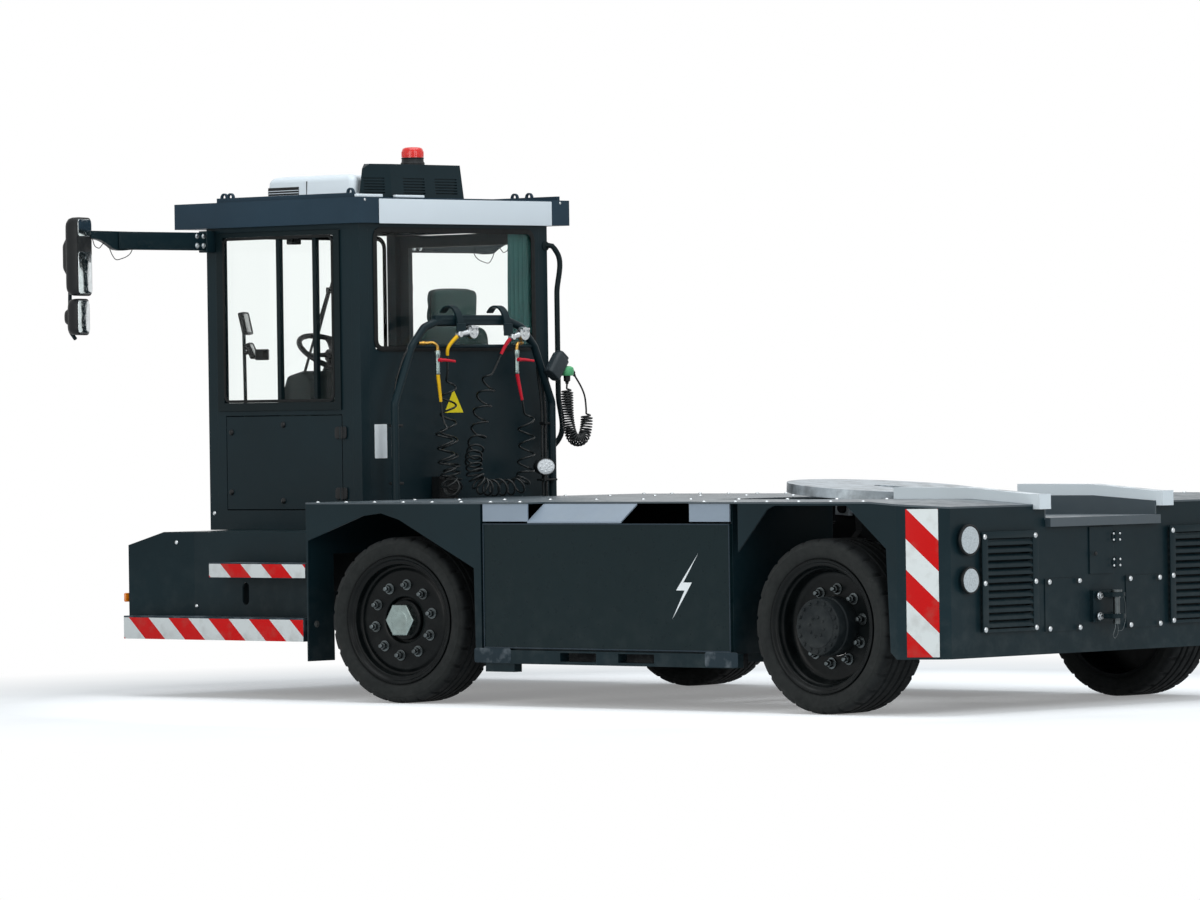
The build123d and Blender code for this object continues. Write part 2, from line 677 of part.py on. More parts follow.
# Roof equipment
def roof_unit():
    # Cooler shell, cut back round the vent housing
    x0, x1, y0, y1 = 750, 1390, 60, 600
    plan = [(x1, y0), (x1, y1), (x0, y1), (x0 + 124, y1 - 166), (x0 + 124, y0)]
    return prism_z(plan, ROOF_TOP_Z, ROOF_TOP_Z + 118)


def vent_slots(width):
    # Upright stack of level slots, cut across X = 0
    slots = Box(24, width, 6)
    stack = [Pos(0, 0, ROOF_TOP_Z + 24 + i * SLOT_PITCH) * slots for i in range(SLOTS)]
    return Compound(children=stack)


def vent_housing():
    base = make_face(Polyline([(x, y, ROOF_TOP_Z) for x, y in VENT_PLAN], close=True))
    part = extrude(base, amount=VENT_H, dir=(0, 0, 1), taper=5)
    part -= prism_x([(600, ROOF_TOP_Z + 122), (512, ROOF_TOP_Z + VENT_H + 4), (620, ROOF_TOP_Z + VENT_H + 4)],
                    690, 900)
    left = Pos(728, 505, 0) * Rot(0, 0, -degrees(atan2(41, 185))) * vent_slots(120)
    for one in (Pos(707, 250, 0) * vent_slots(150), Pos(707, 27, 0) * vent_slots(155), left):
        for slot in one.solids():
            part -= slot
    return part


def beacon():
    x, y, z = 785, 182, ROOF_TOP_Z + VENT_H
    return cyl_z(x, y, z, z + 36, 59) + cyl_z(x, y, z + 36, z + 88, 53)


MIRROR_X = 1700
MIRROR_Y = 1570
MIRROR_TURN = 23         # the glasses look back and inwards


def mirror_head(y, low, high, width, depth):
    # Housing with its back swelling over the middle, the glass side towards -X before it is turned
    z = (low + high) / 2
    part = box(-depth / 2, depth / 2, -width / 2, width / 2, low, high)
    part = chamfer(part.edges().filter_by(Axis.X), 22)
    part += box(depth / 2 - 1, depth / 2 + 30, -width / 4, width / 4, z - (high - low) / 4, z + (high - low) / 5)
    return Pos(MIRROR_X, y, 0) * Rot(0, 0, MIRROR_TURN) * part


def mirror_set():
    x, y = MIRROR_X, MIRROR_Y
    part = box(x - 10, x + 30, CAB_Y, 1220, 2182, 2270)
    bracket = [(1210, 2182), (1310, 2178), (1345, 2205), (1400, 2232), (y, 2240), (y, 2272), (1210, 2270)]
    part += prism_x(bracket, x - 4, x + 26)
    part += box(x - 14, x + 44, CAB_Y, CAB_Y + 60, 2176, 2276)
    part += tube([(x + 8, y - 30, 2255), (x + 62, y - 30, 2200), (x + 66, y, 1780), (x + 20, y, 1745)], 10, 30)
    return part + mirror_head(y, 1955, 2335, 175, 74) + mirror_head(y + 5, 1765, 1942, 150, 62)


def mirrors():
    return pair(mirror_set())


# Hose rack
RACK_X = 565
RACK_ROD_Z = 1690
RACK_LEG_Y = 552


def rack_leg(side, r=19):
    route = [(RACK_LEG_Y, DECK_Z), (RACK_LEG_Y, 1410), (433, 1686), (344, 1781), (230, 1820), (0, 1820)]
    return tube([(RACK_X, side * y, z) for y, z in route], r, 40)


def hose_rack():
    return rack_leg(1) + rack_leg(-1) + cyl_y(RACK_X, RACK_ROD_Z, -430, 430, 8)


def grab_rail():
    x, y = CAB_REAR_X - 35, -690
    rail = cyl_z(x, y, 1200, 2200, 13)
    for z in (1210, 2190):
        rail += box(x - 8, CAB_REAR_X + 20, y - 8, -CAB_Y, z - 8, z + 8)
    return rail


# Free cords. The air hoses and the electric cable are curly cords, so each is one tube of its coil's
# outer diameter along the coil's middle line, in the front axle's frame.
HOSE_COIL_R = 46
CABLE_COIL_R = 32
YELLOW_ROUTE = [(505, 294, 1420), (505, 277, 1300), (500, 265, 1130), (495, 250, 998), (560, 150, 998),
                (572, 165, 1130), (570, 177, 1285), (572, 178, 1440), (548, 200, 1645)]
RED_ROUTE = [(505, -277, 1424), (505, -306, 1315), (500, -300, 1200), (500, -285, 998), (490, -95, 996),
             (460, 85, 998), (488, 100, 1120), (555, -8, 1224), (566, -48, 1360), (572, -105, 1510),
             (548, -178, 1650)]
CABLE_ROUTE = [(510, -606, 1500), (510, -606, 1410), (512, -611, 1310), (510, -640, 1220), (510, -718, 1220),
               (510, -746, 1295), (510, -742, 1385), (513, -736, 1465), (515, -668, 1540)]


def beyond(route, reach):
    # The point in line with a route's first run, ahead of its start
    a, b = Vector(*route[0]), Vector(*route[1])
    return a + (a - b).normalized() * reach


def cord_radii(route):
    # 0.45 of the shorter run over the tangent of half the turn, at each bend
    radii = []
    for a, b, c in zip(route, route[1:], route[2:]):
        u, v = Vector(*b) - Vector(*a), Vector(*c) - Vector(*b)
        half = radians(u.get_angle(v)) / 2
        radii.append(0.45 * min(u.length, v.length) / (sin(half) / cos(half)))
    return radii


def cord(name, route, r):
    radii = cord_radii(route)
    line = FilletPolyline(*route, radius=radii)
    print(name, "radii", [round(one) for one in radii], "length", round(line.length))
    return sweep((line ^ 0) * Circle(r), path=line)


SLEEVE_R = 9
SLEEVE = 137


def air_valve(route, side):
    # Ball valve held by an elbow on the rack's leg, a lever on its back and the hose's sleeve below
    foot, start = beyond(route, SLEEVE), Vector(*route[0])
    x, y = foot.X, foot.Y
    rest = side * 400
    part = tube([(x, y, 1668), (x, y, 1704), (RACK_X - 10, rest, 1704)], 9, 14)
    part += cyl_z(x, y, foot.Z - 6, 1580, 14) + cyl_z(x, y, 1580, 1655, 12) + cyl_z(x, y, 1655, 1672, 14)
    part += Pos(*(foot + start) / 2) * Plane((0, 0, 0), z_dir=start - foot).location * Cylinder(SLEEVE_R, SLEEVE)
    part += cyl_x(y, 1622, x - 24, x, 7) + box(x - 26, x - 21, y - 100, y + 10, 1615, 1629)
    return part - rack_leg(side, 19.3)


def coupling(route, neck, head):
    # Round coupling head on a hanger under the top bar, with the hose's sleeve beside it
    start, mid = Vector(*route[-1]), beyond(route[::-1], 24)
    x = RACK_X - 43
    part = tube([start, mid, Vector(x, *neck)], SLEEVE_R, 6)
    part += cyl_x(*head, x - 16, x + 16, 34) + cyl_x(*neck, x - 14, x + 14, 16)
    link = Line((x, *head), (x, *neck))
    part += sweep((link ^ 0) * Circle(13), path=link)
    part += box(x + 15, RACK_X - 19.3, head[0] - 24, head[0] + 24, head[1] - 20, 1850)
    return part


def air_lines():
    return [air_valve(YELLOW_ROUTE, 1), air_valve(RED_ROUTE, -1),
            coupling(YELLOW_ROUTE, (143, 1746), (56, 1759)), coupling(RED_ROUTE, (-230, 1733), (-306, 1750))]


def air_silencer():
    # Finned block on the deck behind the cab
    part = box(628, 680, 60, 185, DECK_Z, 1055)
    for z in range(DECK_Z + 8, 1048, 12):
        part += box(622, 628, 64, 181, z, z + 5)
    return part


def cable_socket():
    # Parked plug under its slanted holder, with a gland for each end of the cable
    x, y, z = 510, -606, 1553
    top, side = Vector(*CABLE_ROUTE[0]), Vector(*CABLE_ROUTE[-1])
    part = cyl_z(x, y, top.Z, z, 24) + Pos(x, y, z) * Sphere(34)
    axis = (beyond(CABLE_ROUTE[::-1], 1) - side)
    part += Pos(*(side + axis * 20)) * Plane((0, 0, 0), z_dir=axis).location * Cylinder(12, 40)
    part += Pos(x + 5, y + 70, z + 30) * Rot(38, 0, 0) * Box(60, 92, 120)
    part += box(x, RACK_X + 5, -560, -500, z - 10, z + 15)
    return part - rack_leg(-1, 19.3)


def work_lamp():
    # Oval lamp on a bracket from the rack's right leg
    y, z = -444, 1094
    face = Plane((505, y, z), x_dir=(0, 1, 0), z_dir=(1, 0, 0)) * Ellipse(71, 41)
    part = extrude(face, amount=45) + box(528, 545, y - 12, y + 12, 1030, 1060)
    part += box(530, 560, -RACK_LEG_Y, y + 12, 1026, 1038)
    return part - rack_leg(-1, 19.3)


def front_lamps():
    # Head lamps and turn lamps on the nose
    parts = []
    for y, r in ((930, 62), (790, 40)):
        parts += pair(cyl_x(y, 590, NOSE_X, NOSE_X + 12, r))
    return parts


def build():
    put("chassis_frame", chassis_frame())
    put("front_axle", front_axle())
    put("rear_axle", rear_axle())
    wheels()
    put_front("nose_body", nose_body())
    put_front("bumper_steps", bumper_steps())
    put_front("front_fenders", pair(front_fender()))
    put("battery_boxes", pair(battery_box()))
    put("battery_covers", pair(battery_cover()))
    put("battery_tops", [one for top in battery_top() for one in pair(top)])
    put("battery_packs", pair(box(BATTERY_REAR_X + 30, BATTERY_FRONT_X - 30, BATTERY_Y + 20, 1140, 270, 840)))
    put("rear_body", rear_body())
    put("deck", deck())
    put("guide_rails", pair(guide_rail()))
    put("rear_grilles", pair(grille(472, 861)))
    put("rear_covers", pair(rear_cover(168, 408)))
    put("rear_lamps", rear_lamps())
    put("rear_door", rear_door())
    put("rear_hitch", rear_hitch())
    put("hitch_pin", hitch_pin())
    put("lift_boom", lift_boom())
    put("fifth_wheel", fifth_wheel())
    put("lift_barrel", lift_barrel())
    put("lift_rod", lift_rod())
    put_front("cab_frame", cab_frame())
    put_front("cab_panels", cab_panels())
    put_front("window_frame", window_frame())
    put_front("cab_glass", cab_glass())
    put_front("cab_roof", cab_roof())
    put_front("cab_door", cab_door())
    put_front("door_glass", door_glass())
    put_front("side_hatch", side_hatch())
    put_front("seat", seat())
    put_front("dashboard", dashboard())
    put_front("steering_wheel", steering_wheel())
    put_front("curtain", curtain())
    put_front("roof_unit", roof_unit())
    put_front("vent_housing", vent_housing())
    put_front("beacon", beacon())
    put_front("mirrors", mirrors())
    put_front("hose_rack", hose_rack())
    put_front("grab_rail", grab_rail())
    put_front("air_valves", air_lines())
    put_front("air_hose_yellow", cord("air_hose_yellow", YELLOW_ROUTE, HOSE_COIL_R))
    put_front("air_hose_red", cord("air_hose_red", RED_ROUTE, HOSE_COIL_R))
    put_front("electric_cable", cord("electric_cable", CABLE_ROUTE, CABLE_COIL_R))
    put_front("cable_socket", cable_socket())
    put_front("work_lamps", work_lamp())
    put_front("air_silencer", air_silencer())
    put_front("front_lamps", front_lamps())


build()
for name, shape in NODES.items():
    export_step(shape, f"parts/{name}.step")
low = [min(s.bounding_box().min.X for s in NODES.values()), min(s.bounding_box().min.Y for s in NODES.values())]
high = [max(s.bounding_box().max.X for s in NODES.values()), max(s.bounding_box().max.Y for s in NODES.values())]
print(len(NODES), "nodes, X", low[0], high[0], "Y", low[1], high[1], "X_MID", X_MID)
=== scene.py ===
import math

import bmesh
import bpy
import numpy as np
from bpy.props import FloatProperty, FloatVectorProperty, IntProperty, PointerProperty
from mathutils import Matrix, Vector


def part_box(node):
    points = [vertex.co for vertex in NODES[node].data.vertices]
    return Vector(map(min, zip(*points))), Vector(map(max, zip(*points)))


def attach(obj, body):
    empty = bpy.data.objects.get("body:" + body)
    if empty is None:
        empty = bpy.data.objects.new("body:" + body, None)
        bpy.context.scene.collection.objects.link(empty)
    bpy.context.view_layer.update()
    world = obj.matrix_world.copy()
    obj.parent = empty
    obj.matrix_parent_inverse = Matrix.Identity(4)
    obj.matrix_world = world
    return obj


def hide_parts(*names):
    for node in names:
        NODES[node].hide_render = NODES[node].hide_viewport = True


bl_info = {
    "name": "Electric yard tractor",
    "version": (1, 0, 0),
    "blender": (4, 5, 0),
    "location": "View3D > Sidebar > Tractor",
    "description": "Finishes, hoses, soft goods and fittings of an electric yard tractor",
    "category": "Object",
}

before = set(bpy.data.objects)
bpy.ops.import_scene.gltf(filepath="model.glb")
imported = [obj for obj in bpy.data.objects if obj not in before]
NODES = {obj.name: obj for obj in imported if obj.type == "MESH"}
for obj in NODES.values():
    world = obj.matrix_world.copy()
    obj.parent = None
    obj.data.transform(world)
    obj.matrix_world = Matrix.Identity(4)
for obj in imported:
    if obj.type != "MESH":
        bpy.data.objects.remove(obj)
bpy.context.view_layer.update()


def middle(node):
    """The centre of a frame node's box."""
    low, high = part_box(node)
    return (low + high) / 2


# Directions and the two sides
LEFT, UP, BACK, AHEAD = (0, 1, 0), (0, 0, 1), (-1, 0, 0), (1, 0, 0)
SIDES = ((1, "left"), (-1, "right"))

# Driving sizes in metres, read from the frame. The rear face and the cab's rear wall are measured from the
# rear axle's line.
AXLE_X = middle("tyre_rear_left").x
FRONT_AXLE_X = middle("front_axle").x
WHEELBASE = FRONT_AXLE_X - AXLE_X
SIDE_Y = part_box("deck")[1].y
REAR_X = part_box("rear_body")[0].x - AXLE_X
DECK_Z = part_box("deck")[1].z
ROOF_TOP_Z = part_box("roof_unit")[0].z
CAB_REAR_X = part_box("cab_frame")[0].x - AXLE_X
CAB_LEFT_Y = 0.660
REST_STEER = math.radians(8)

# Wheels
STUD_COUNT, STUD_CIRCLE = 10, 0.1675
FACE_FRONT, FACE_REAR = 0.0855, 0.0378

# Tapes: the steps' folded edges and the rear corners
STEP_LOW, STEP_HIGH = 0.283, 0.387

# Mirrors
MIRROR_TURN = math.radians(23)
MIRROR_X = 1.700

# Hoses and cable, with their lengths as measured on the finished curves
RACK_X = 0.565
COIL_R, HOSE_R = 0.042, 0.0052
CABLE_COIL_R, CABLE_R = 0.0275, 0.0045
PER_TURN = 14
HOSE_LENGTHS = (4.11, 5.80)
CABLE_LENGTH = 6.04

# Stage: the floor turns white between two distances, and the camera stands as the photograph's did
FLOOR_REACH, FLOOR_NEAR, FLOOR_FAR, FLOOR_GLOW = 60.0, 2.6, 5.2, 0.25
CAMERA_PLACE = (-21.957, 24.051, 1.366)
CAMERA_TURN, CAMERA_PITCH, CAMERA_ROLL = -0.81984, -0.00576, -0.01389
CAMERA_LENS_MM = 205.22


def at(x, y, z):
    """A place measured from the rear axle's line, as a point of the frame."""
    return np.array((x + AXLE_X, y, z), float)


def front(x, y, z):
    """A place measured from the front axle's line, as a point of the frame."""
    return np.array((x + FRONT_AXLE_X, y, z), float)


# Surfaces as arrays: each function gives (points, faces)
def unit(vector):
    """A vector divided by its length."""
    vector = np.asarray(vector, float)
    return vector / np.linalg.norm(vector)


def unit_rows(rows):
    """Each row divided by its own length."""
    return rows / np.linalg.norm(rows, axis=1)[:, None]


def run_along(points):
    """The distance along a line at each of its points: the running sum of the steps' lengths."""
    return np.concatenate(([0], np.cumsum(np.linalg.norm(np.diff(points, axis=0), axis=1))))


def basis_of(direction):
    """Two unit vectors square to a direction, and the direction: one that lies level where it can, the
    one square to both, then the direction itself."""
    w = unit(direction)
    level = np.array((0, 0, 1.0)) if abs(w[2]) < 0.9 else np.array((1.0, 0, 0))
    u = unit(np.cross(level, w))
    return np.array((u, np.cross(w, u), w))


def grid_faces(rows, cols, wrap_rows=False, wrap_cols=False):
    """The four-cornered faces of a grid of points, joined round where a direction wraps."""
    i = np.arange(rows if wrap_rows else rows - 1)[:, None]
    j = np.arange(cols if wrap_cols else cols - 1)[None, :]
    k, m = (i + 1) % rows, (j + 1) % cols
    corners = np.broadcast_arrays(i * cols + j, i * cols + m, k * cols + m, k * cols + j)
    return np.stack(corners, -1).reshape(-1, 4).tolist()


def sheet(points, wrap_rows=False, wrap_cols=False):
    """The surface through a grid of points."""
    rows, cols = points.shape[:2]
    return points.reshape(-1, 3), grid_faces(rows, cols, wrap_rows, wrap_cols)


def loft(loops):
    """Skin over a stack of closed outlines, shut by one face at each end."""
    points, faces = sheet(np.asarray(loops, float), wrap_cols=True)
    count = len(loops[0])
    top = (len(loops) - 1) * count
    return points, faces + [list(range(count))[::-1], list(range(top, top + count))]


def placed(part, centre, basis):
    """A part drawn in its own axes, carried to a centre along three unit vectors."""
    points, faces = part
    return points @ np.asarray(basis, float) + np.asarray(centre, float), faces


def joined(*parts):
    """Several parts as one."""
    points, faces, start = [], [], 0
    for part_points, part_faces in parts:
        points.append(part_points)
        faces += [[v + start for v in face] for face in part_faces]
        start += len(part_points)
    return np.concatenate(points), faces


def repeated(part, places, direction):
    """The same part at many places, its height along one direction."""
    points, faces = placed(part, (0, 0, 0), basis_of(direction))
    places = np.asarray(places, float)
    moved = (points[None] + places[:, None]).reshape(-1, 3)
    step = len(points)
    return moved, [[v + k * step for v in face] for k in range(len(places)) for face in faces]


def turned(profile, steps=40):
    """Turned about the height axis: a profile point (r, h) goes to (r cos a, r sin a, h)."""
    r, h = np.array(profile, float).T
    a = np.linspace(0, 2 * math.pi, steps, endpoint=False)
    points = np.stack((np.outer(r, np.cos(a)), np.outer(r, np.sin(a)), np.outer(h, np.ones(steps))), -1)
    return sheet(points, wrap_cols=True)


def lathe(profile, steps, centre, axes):
    """A turned part, carried to its place."""
    return placed(turned(profile, steps), centre, axes)


def rounded_outline(width, height, corner, steps=5):
    """A rounded rectangle: from the middle of each corner circle, the radius at evenly spaced angles."""
    corner = min(corner, width / 2 - 1e-5, height / 2 - 1e-5)
    quarter = np.linspace(0, math.pi / 2, steps + 1)
    turns = np.concatenate([quarter + k * math.pi / 2 for k in range(4)])
    signs = np.repeat([(1, 1), (-1, 1), (-1, -1), (1, -1)], steps + 1, axis=0)
    middles = signs * (width / 2 - corner, height / 2 - corner)
    return middles + corner * np.stack((np.cos(turns), np.sin(turns)), -1)


def slab(width, height, thick, corner, edge, steps=5, rounds=4):
    """A plate with a rounded outline and rounded edges: towards each face the outline runs in by
    e(1 - cos t) while it rises by e sin t, over a quarter turn."""
    t = np.linspace(0, math.pi / 2, rounds + 1)
    inset = edge * (1 - np.cos(t))
    rise = thick / 2 - edge + edge * np.sin(t)
    inset = np.concatenate((inset[::-1], inset))
    level = np.concatenate((-rise[::-1], rise))
    loops = []
    for d, h in zip(inset, level):
        flat = rounded_outline(width - 2 * d, height - 2 * d, max(corner - d, 1e-4), steps)
        loops.append(np.column_stack((flat, np.full(len(flat), h))))
    return loft(loops)


def tapered(levels, steps=6):
    """A shell over rounded rectangles that change from level to level: (height, width, depth, corner,
    shift across, shift along)."""
    loops = []
    for h, width, depth, corner, du, dv in levels:
        flat = rounded_outline(width, depth, corner, steps) + (du, dv)
        loops.append(np.column_stack((flat, np.full(len(flat), h))))
    return loft(loops)


def tube(line, radius, sides=12):
    """A round tube: at each point of the line, radius times (cos a, sin a) in the plane square to it.
    The plane's first axis is the frame axis least along the line, less its part along the line."""
    line = np.asarray(line, float)
    along = unit_rows(np.gradient(line, axis=0))
    reference = np.eye(3)[np.argmin(np.abs(along).max(0))]
    first = unit_rows(reference - along * (along @ reference)[:, None])
    second = np.cross(along, first)
    a = np.linspace(0, 2 * math.pi, sides, endpoint=False)
    radius = np.broadcast_to(np.asarray(radius, float), (len(line),))[:, None, None]
    rings = np.cos(a)[None, :, None] * first[:, None] + np.sin(a)[None, :, None] * second[:, None]
    return loft(line[:, None] + radius * rings)


def smooth_line(points, count=40):
    """A smooth line through a few points: cubic between neighbours, with each slope from the points on
    either side."""
    points = np.asarray(points, float)
    run = run_along(points)
    slope = np.gradient(points, run, axis=0)
    s = np.linspace(0, run[-1], count)
    k = np.clip(np.searchsorted(run, s, side="right") - 1, 0, len(run) - 2)
    span = (run[k + 1] - run[k])[:, None]
    t = (s - run[k])[:, None] / span
    return ((2 * t**3 - 3 * t**2 + 1) * points[k] + (t**3 - 2 * t**2 + t) * span * slope[k]
            + (3 * t**2 - 2 * t**3) * points[k + 1] + (t**3 - t**2) * span * slope[k + 1])


def smooth_front(spots, count=40):
    """A smooth line through places given from the front axle."""
    return smooth_line([front(*spot) for spot in spots], count)


def prism(outline, low, high):
    """A straight-sided block over a flat outline, from one height to another."""
    flat = np.asarray(outline, float)
    return loft([np.column_stack((flat, np.full(len(flat), h))) for h in (low, high)])


def block(low, high, edge=0.003):
    """A block with rounded edges between two corners given from the front axle."""
    low, high = front(*low), front(*high)
    size = np.abs(high - low)
    return placed(slab(size[1], size[2], size[0], edge, edge, 3, 3), (low + high) / 2, (LEFT, UP, AHEAD))


def side_block(side, xs, ys, zs, edge=0.003):
    """A block on one side: ys are distances from the middle line."""
    low, high = sorted(side * y for y in ys)
    return block((xs[0], low, zs[0]), (xs[1], high, zs[1]), edge)


def vertices_of(mesh):
    """The mesh's points as an array of rows."""
    spots = np.empty(len(mesh.vertices) * 3, np.float32)
    mesh.vertices.foreach_get("co", spots)
    return spots.reshape(-1, 3)


def piece(name, parts, finish, crease=35, replaces=(), body="vehicle", plane_uv=None):
    """One mesh of the parts, in place, its faces pointing outwards. plane_uv gives a corner and two unit
    vectors, and the mesh then carries metres along both as its UV map."""
    points, faces = joined(*parts)
    mesh = bpy.data.meshes.new(name)
    mesh.from_pydata(points.tolist(), [], faces)
    cleaned = bmesh.new()
    cleaned.from_mesh(mesh)
    bmesh.ops.remove_doubles(cleaned, verts=cleaned.verts, dist=1e-6)
    bmesh.ops.recalc_face_normals(cleaned, faces=cleaned.faces)
    cleaned.to_mesh(mesh)
    cleaned.free()
    mesh.shade_smooth()
    mesh.set_sharp_from_angle(angle=math.radians(crease))
    if plane_uv is not None:
        corner, along, rise = (np.asarray(one, float) for one in plane_uv)
        owner = np.empty(len(mesh.loops), np.int32)
        mesh.loops.foreach_get("vertex_index", owner)
        local = vertices_of(mesh)[owner] - corner
        flat = np.stack((local @ along, local @ rise), -1).astype(np.float32)
        mesh.uv_layers.new(name="face").data.foreach_set("uv", flat.ravel())
    return settle(name, mesh, finish, replaces, body)


def settle(name, data, finish, replaces=(), body="vehicle"):
    """A new object with its finish, carried by a body and the frame nodes it stands for."""
    made = bpy.data.objects.new(name, data)
    bpy.context.scene.collection.objects.link(made)
    data.materials.clear()
    data.materials.append(look(finish))
    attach(made, body)
    if replaces:
        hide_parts(*replaces)
    return made


# Small fasteners, standing on height 0
def button_head(radius, height):
    """A domed head: a quarter of an ellipse, turned."""
    rise = [(radius * math.cos(t), height * math.sin(t)) for t in np.linspace(0, math.pi / 2 - 0.02, 6)]
    return turned([(radius, -0.001)] + rise, 14)


def hex_head(across, height, washer=1.35):
    """Six-sided head with a chamfered top on a round washer."""
    ring = np.linspace(0, 2 * math.pi, 6, endpoint=False)
    flat = np.stack((np.cos(ring), np.sin(ring)), -1) * across / 2
    levels = ((0, 1), (height * 0.85, 1), (height, 0.88))
    head = loft([np.column_stack((flat * k, np.full(6, h))) for h, k in levels])
    plate = turned([(0.0002, height * 0.24), (across / 2 * washer, height * 0.22),
                    (across / 2 * washer, -0.001)], 18)
    return joined(head, plate)


# Materials
def linear(colour):
    """A colour of six hex digits as Blender's linear values. A colour that has them already is kept."""
    if not isinstance(colour, str):
        return tuple(colour) + (1.0,)
    values = [int(colour[k:k + 2], 16) / 255 for k in (0, 2, 4)]
    return tuple(v / 12.92 if v <= 0.04045 else ((v + 0.055) / 1.055) ** 2.4 for v in values) + (1.0,)


def shaded(colour, share):
    """A colour with its three values scaled by a share."""
    return tuple(c * share for c in linear(colour)[:3]) + (1.0,)


class NodeTree:
    """Short calls that add shader nodes to a tree and join them."""

    def __init__(self, tree):
        self.tree = tree

    def feed(self, socket, value):
        """Joins a socket to a node's output, or sets it to a plain value."""
        if isinstance(value, bpy.types.NodeSocket):
            self.tree.links.new(value, socket)
        else:
            socket.default_value = value

    def add(self, kind, settings=None, **inputs):
        """A node with its settings and inputs. An underscore in an input's name stands for a space."""
        made = self.tree.nodes.new("ShaderNode" + kind)
        for key, value in (settings or {}).items():
            setattr(made, key, value)
        for key, value in inputs.items():
            self.feed(made.inputs[key.replace("_", " ")], value)
        return made

    def math(self, operation, *values):
        """The result of one sum on its values."""
        made = self.add("Math", {"operation": operation})
        for socket, value in zip(made.inputs, values):
            self.feed(socket, value)
        return made.outputs[0]

    def band(self, value, low, high, to_low=0.0, to_high=1.0):
        """A value carried in a straight line from one range to another, and held at the ends."""
        made = self.add("MapRange", Value=value)
        for key, number in (("From Min", low), ("From Max", high), ("To Min", to_low), ("To Max", to_high)):
            made.inputs[key].default_value = number
        return made.outputs[0]

    def mix(self, share, first, second):
        """The first colour at share 0 and the second at 1."""
        made = self.add("Mix", {"data_type": "RGBA"})
        for socket, value in zip((made.inputs[0], made.inputs[6], made.inputs[7]), (share, first, second)):
            self.feed(socket, value)
        return made.outputs[2]

    def seen_directly(self):
        """1 for what the camera, mirrors and glass see, and 0 for what lights the object."""
        path = self.add("LightPath").outputs
        return self.math("MAXIMUM", path["Is Camera Ray"],
                         self.math("MAXIMUM", path["Is Glossy Ray"], path["Is Transmission Ray"]))


class Finish(NodeTree):
    """A material on the Principled shader, with its patterns on Object coordinates."""

    def __init__(self, name):
        self.material = bpy.data.materials.new(name)
        self.material.use_nodes = True
        super().__init__(self.material.node_tree)
        self.shader = self.tree.nodes["Principled BSDF"]
        self.place = self.add("TexCoord").outputs["Object"]

    def noise(self, scale, detail=4, rough=0.55, stretch=(1, 1, 1)):
        """A cloudy value, stretched along the axes where asked."""
        spot = self.place
        if stretch != (1, 1, 1):
            spot = self.add("Mapping", Vector=self.place, Scale=stretch).outputs[0]
        return self.add("TexNoise", Vector=spot, Scale=scale, Detail=detail, Roughness=rough).outputs["Fac"]

    def cells(self, scale):
        """The distance to the nearest of many scattered spots."""
        return self.add("TexVoronoi", Vector=self.place, Scale=scale).outputs["Distance"]

    def drift(self, scale, detail, first, second):
        """A tone that wanders between two colours in clouds."""
        return self.mix(self.band(self.noise(scale, detail), 0.3, 0.7), first, second)

    def uneven(self, scale, detail, low, high, stretch=(1, 1, 1)):
        """A roughness that wanders between two values."""
        return self.band(self.noise(scale, detail, stretch=stretch), 0.3, 0.7, low, high)

    def face_map(self):
        """The piece's own map in metres, as its two parts."""
        flat = self.add("UVMap", {"uv_map": "face"})
        return self.add("SeparateXYZ", Vector=flat.outputs[0]).outputs

    def set(self, **inputs):
        """Sets or joins the shader's own sockets."""
        for key, value in inputs.items():
            self.feed(self.shader.inputs[key.replace("_", " ")], value)

    def relief(self, height, strength, distance, edge=0.0):
        """Bump from a height, over edges rounded by a radius, and the finished material."""
        inputs = {"Height": height, "Strength": strength, "Distance": distance}
        if edge:
            inputs["Normal"] = self.add("Bevel", {"samples": 4}, Radius=edge).outputs[0]
        self.set(Normal=self.add("Bump", **inputs).outputs[0])
        return self.material


def painted(name, colour, rough=0.36, vary=0.16, dust_and_sheen=0.10, edge=0.002, gloss=0.12, dust_and_sheen_colour="8b8f8c"):
    """Sprayed paint: the tone drifts in soft patches, dust lies in blotches on what looks up and low down,
    a fine orange peel breaks the gloss, and edges are rounded. On the deck, the pale blotches on what looks
    up are partly a painted sky reflection as well as dust."""
    made = Finish(name)
    tone = made.drift(1.7, 4, shaded(colour, 1 - vary), shaded(colour, 1 + vary))
    up = made.add("SeparateXYZ", Vector=made.add("NewGeometry").outputs["Normal"]).outputs[2]
    # Pale blotches on what looks up: dust, and on the deck also a painted sky reflection.
    upward_dust_and_sheen = made.math("MULTIPLY", made.band(up, 0.4, 1.0), made.band(made.noise(9, 6), 0.42, 0.75))
    height = made.add("SeparateXYZ", Vector=made.place).outputs[2]
    splash = made.math("MULTIPLY", made.band(height, 0.75, 0.2), made.band(made.noise(14, 7), 0.45, 0.8))
    cover = made.math("MULTIPLY", made.math("ADD", upward_dust_and_sheen, splash), dust_and_sheen)
    made.set(Base_Color=made.mix(cover, tone, linear(dust_and_sheen_colour)), Specular_IOR_Level=gloss,
             Roughness=made.band(made.noise(25, 5), 0.3, 0.75, rough - 0.05, rough + 0.10))
    return made.relief(made.noise(700, 2), 0.05, 0.0004, edge)


def bare_metal(name, colour, rough=0.3, brushed=(1, 1, 1), stain=0.0, stain_colour="2a221c", edge=0.0012):
    """Bare or plated metal: fine scratches along one direction and patches of stain."""
    made = Finish(name)
    tone = made.drift(30, 5, shaded(colour, 0.8), linear(colour))
    dirty = made.math("MULTIPLY", made.band(made.noise(11, 7), 0.45, 0.7), stain)
    made.set(Base_Color=made.mix(dirty, tone, linear(stain_colour)), Metallic=1.0,
             Roughness=made.uneven(60, 4, rough - 0.08, rough + 0.12, brushed))
    return made.relief(made.noise(260, 3, stretch=brushed), 0.12, 0.0005, edge)


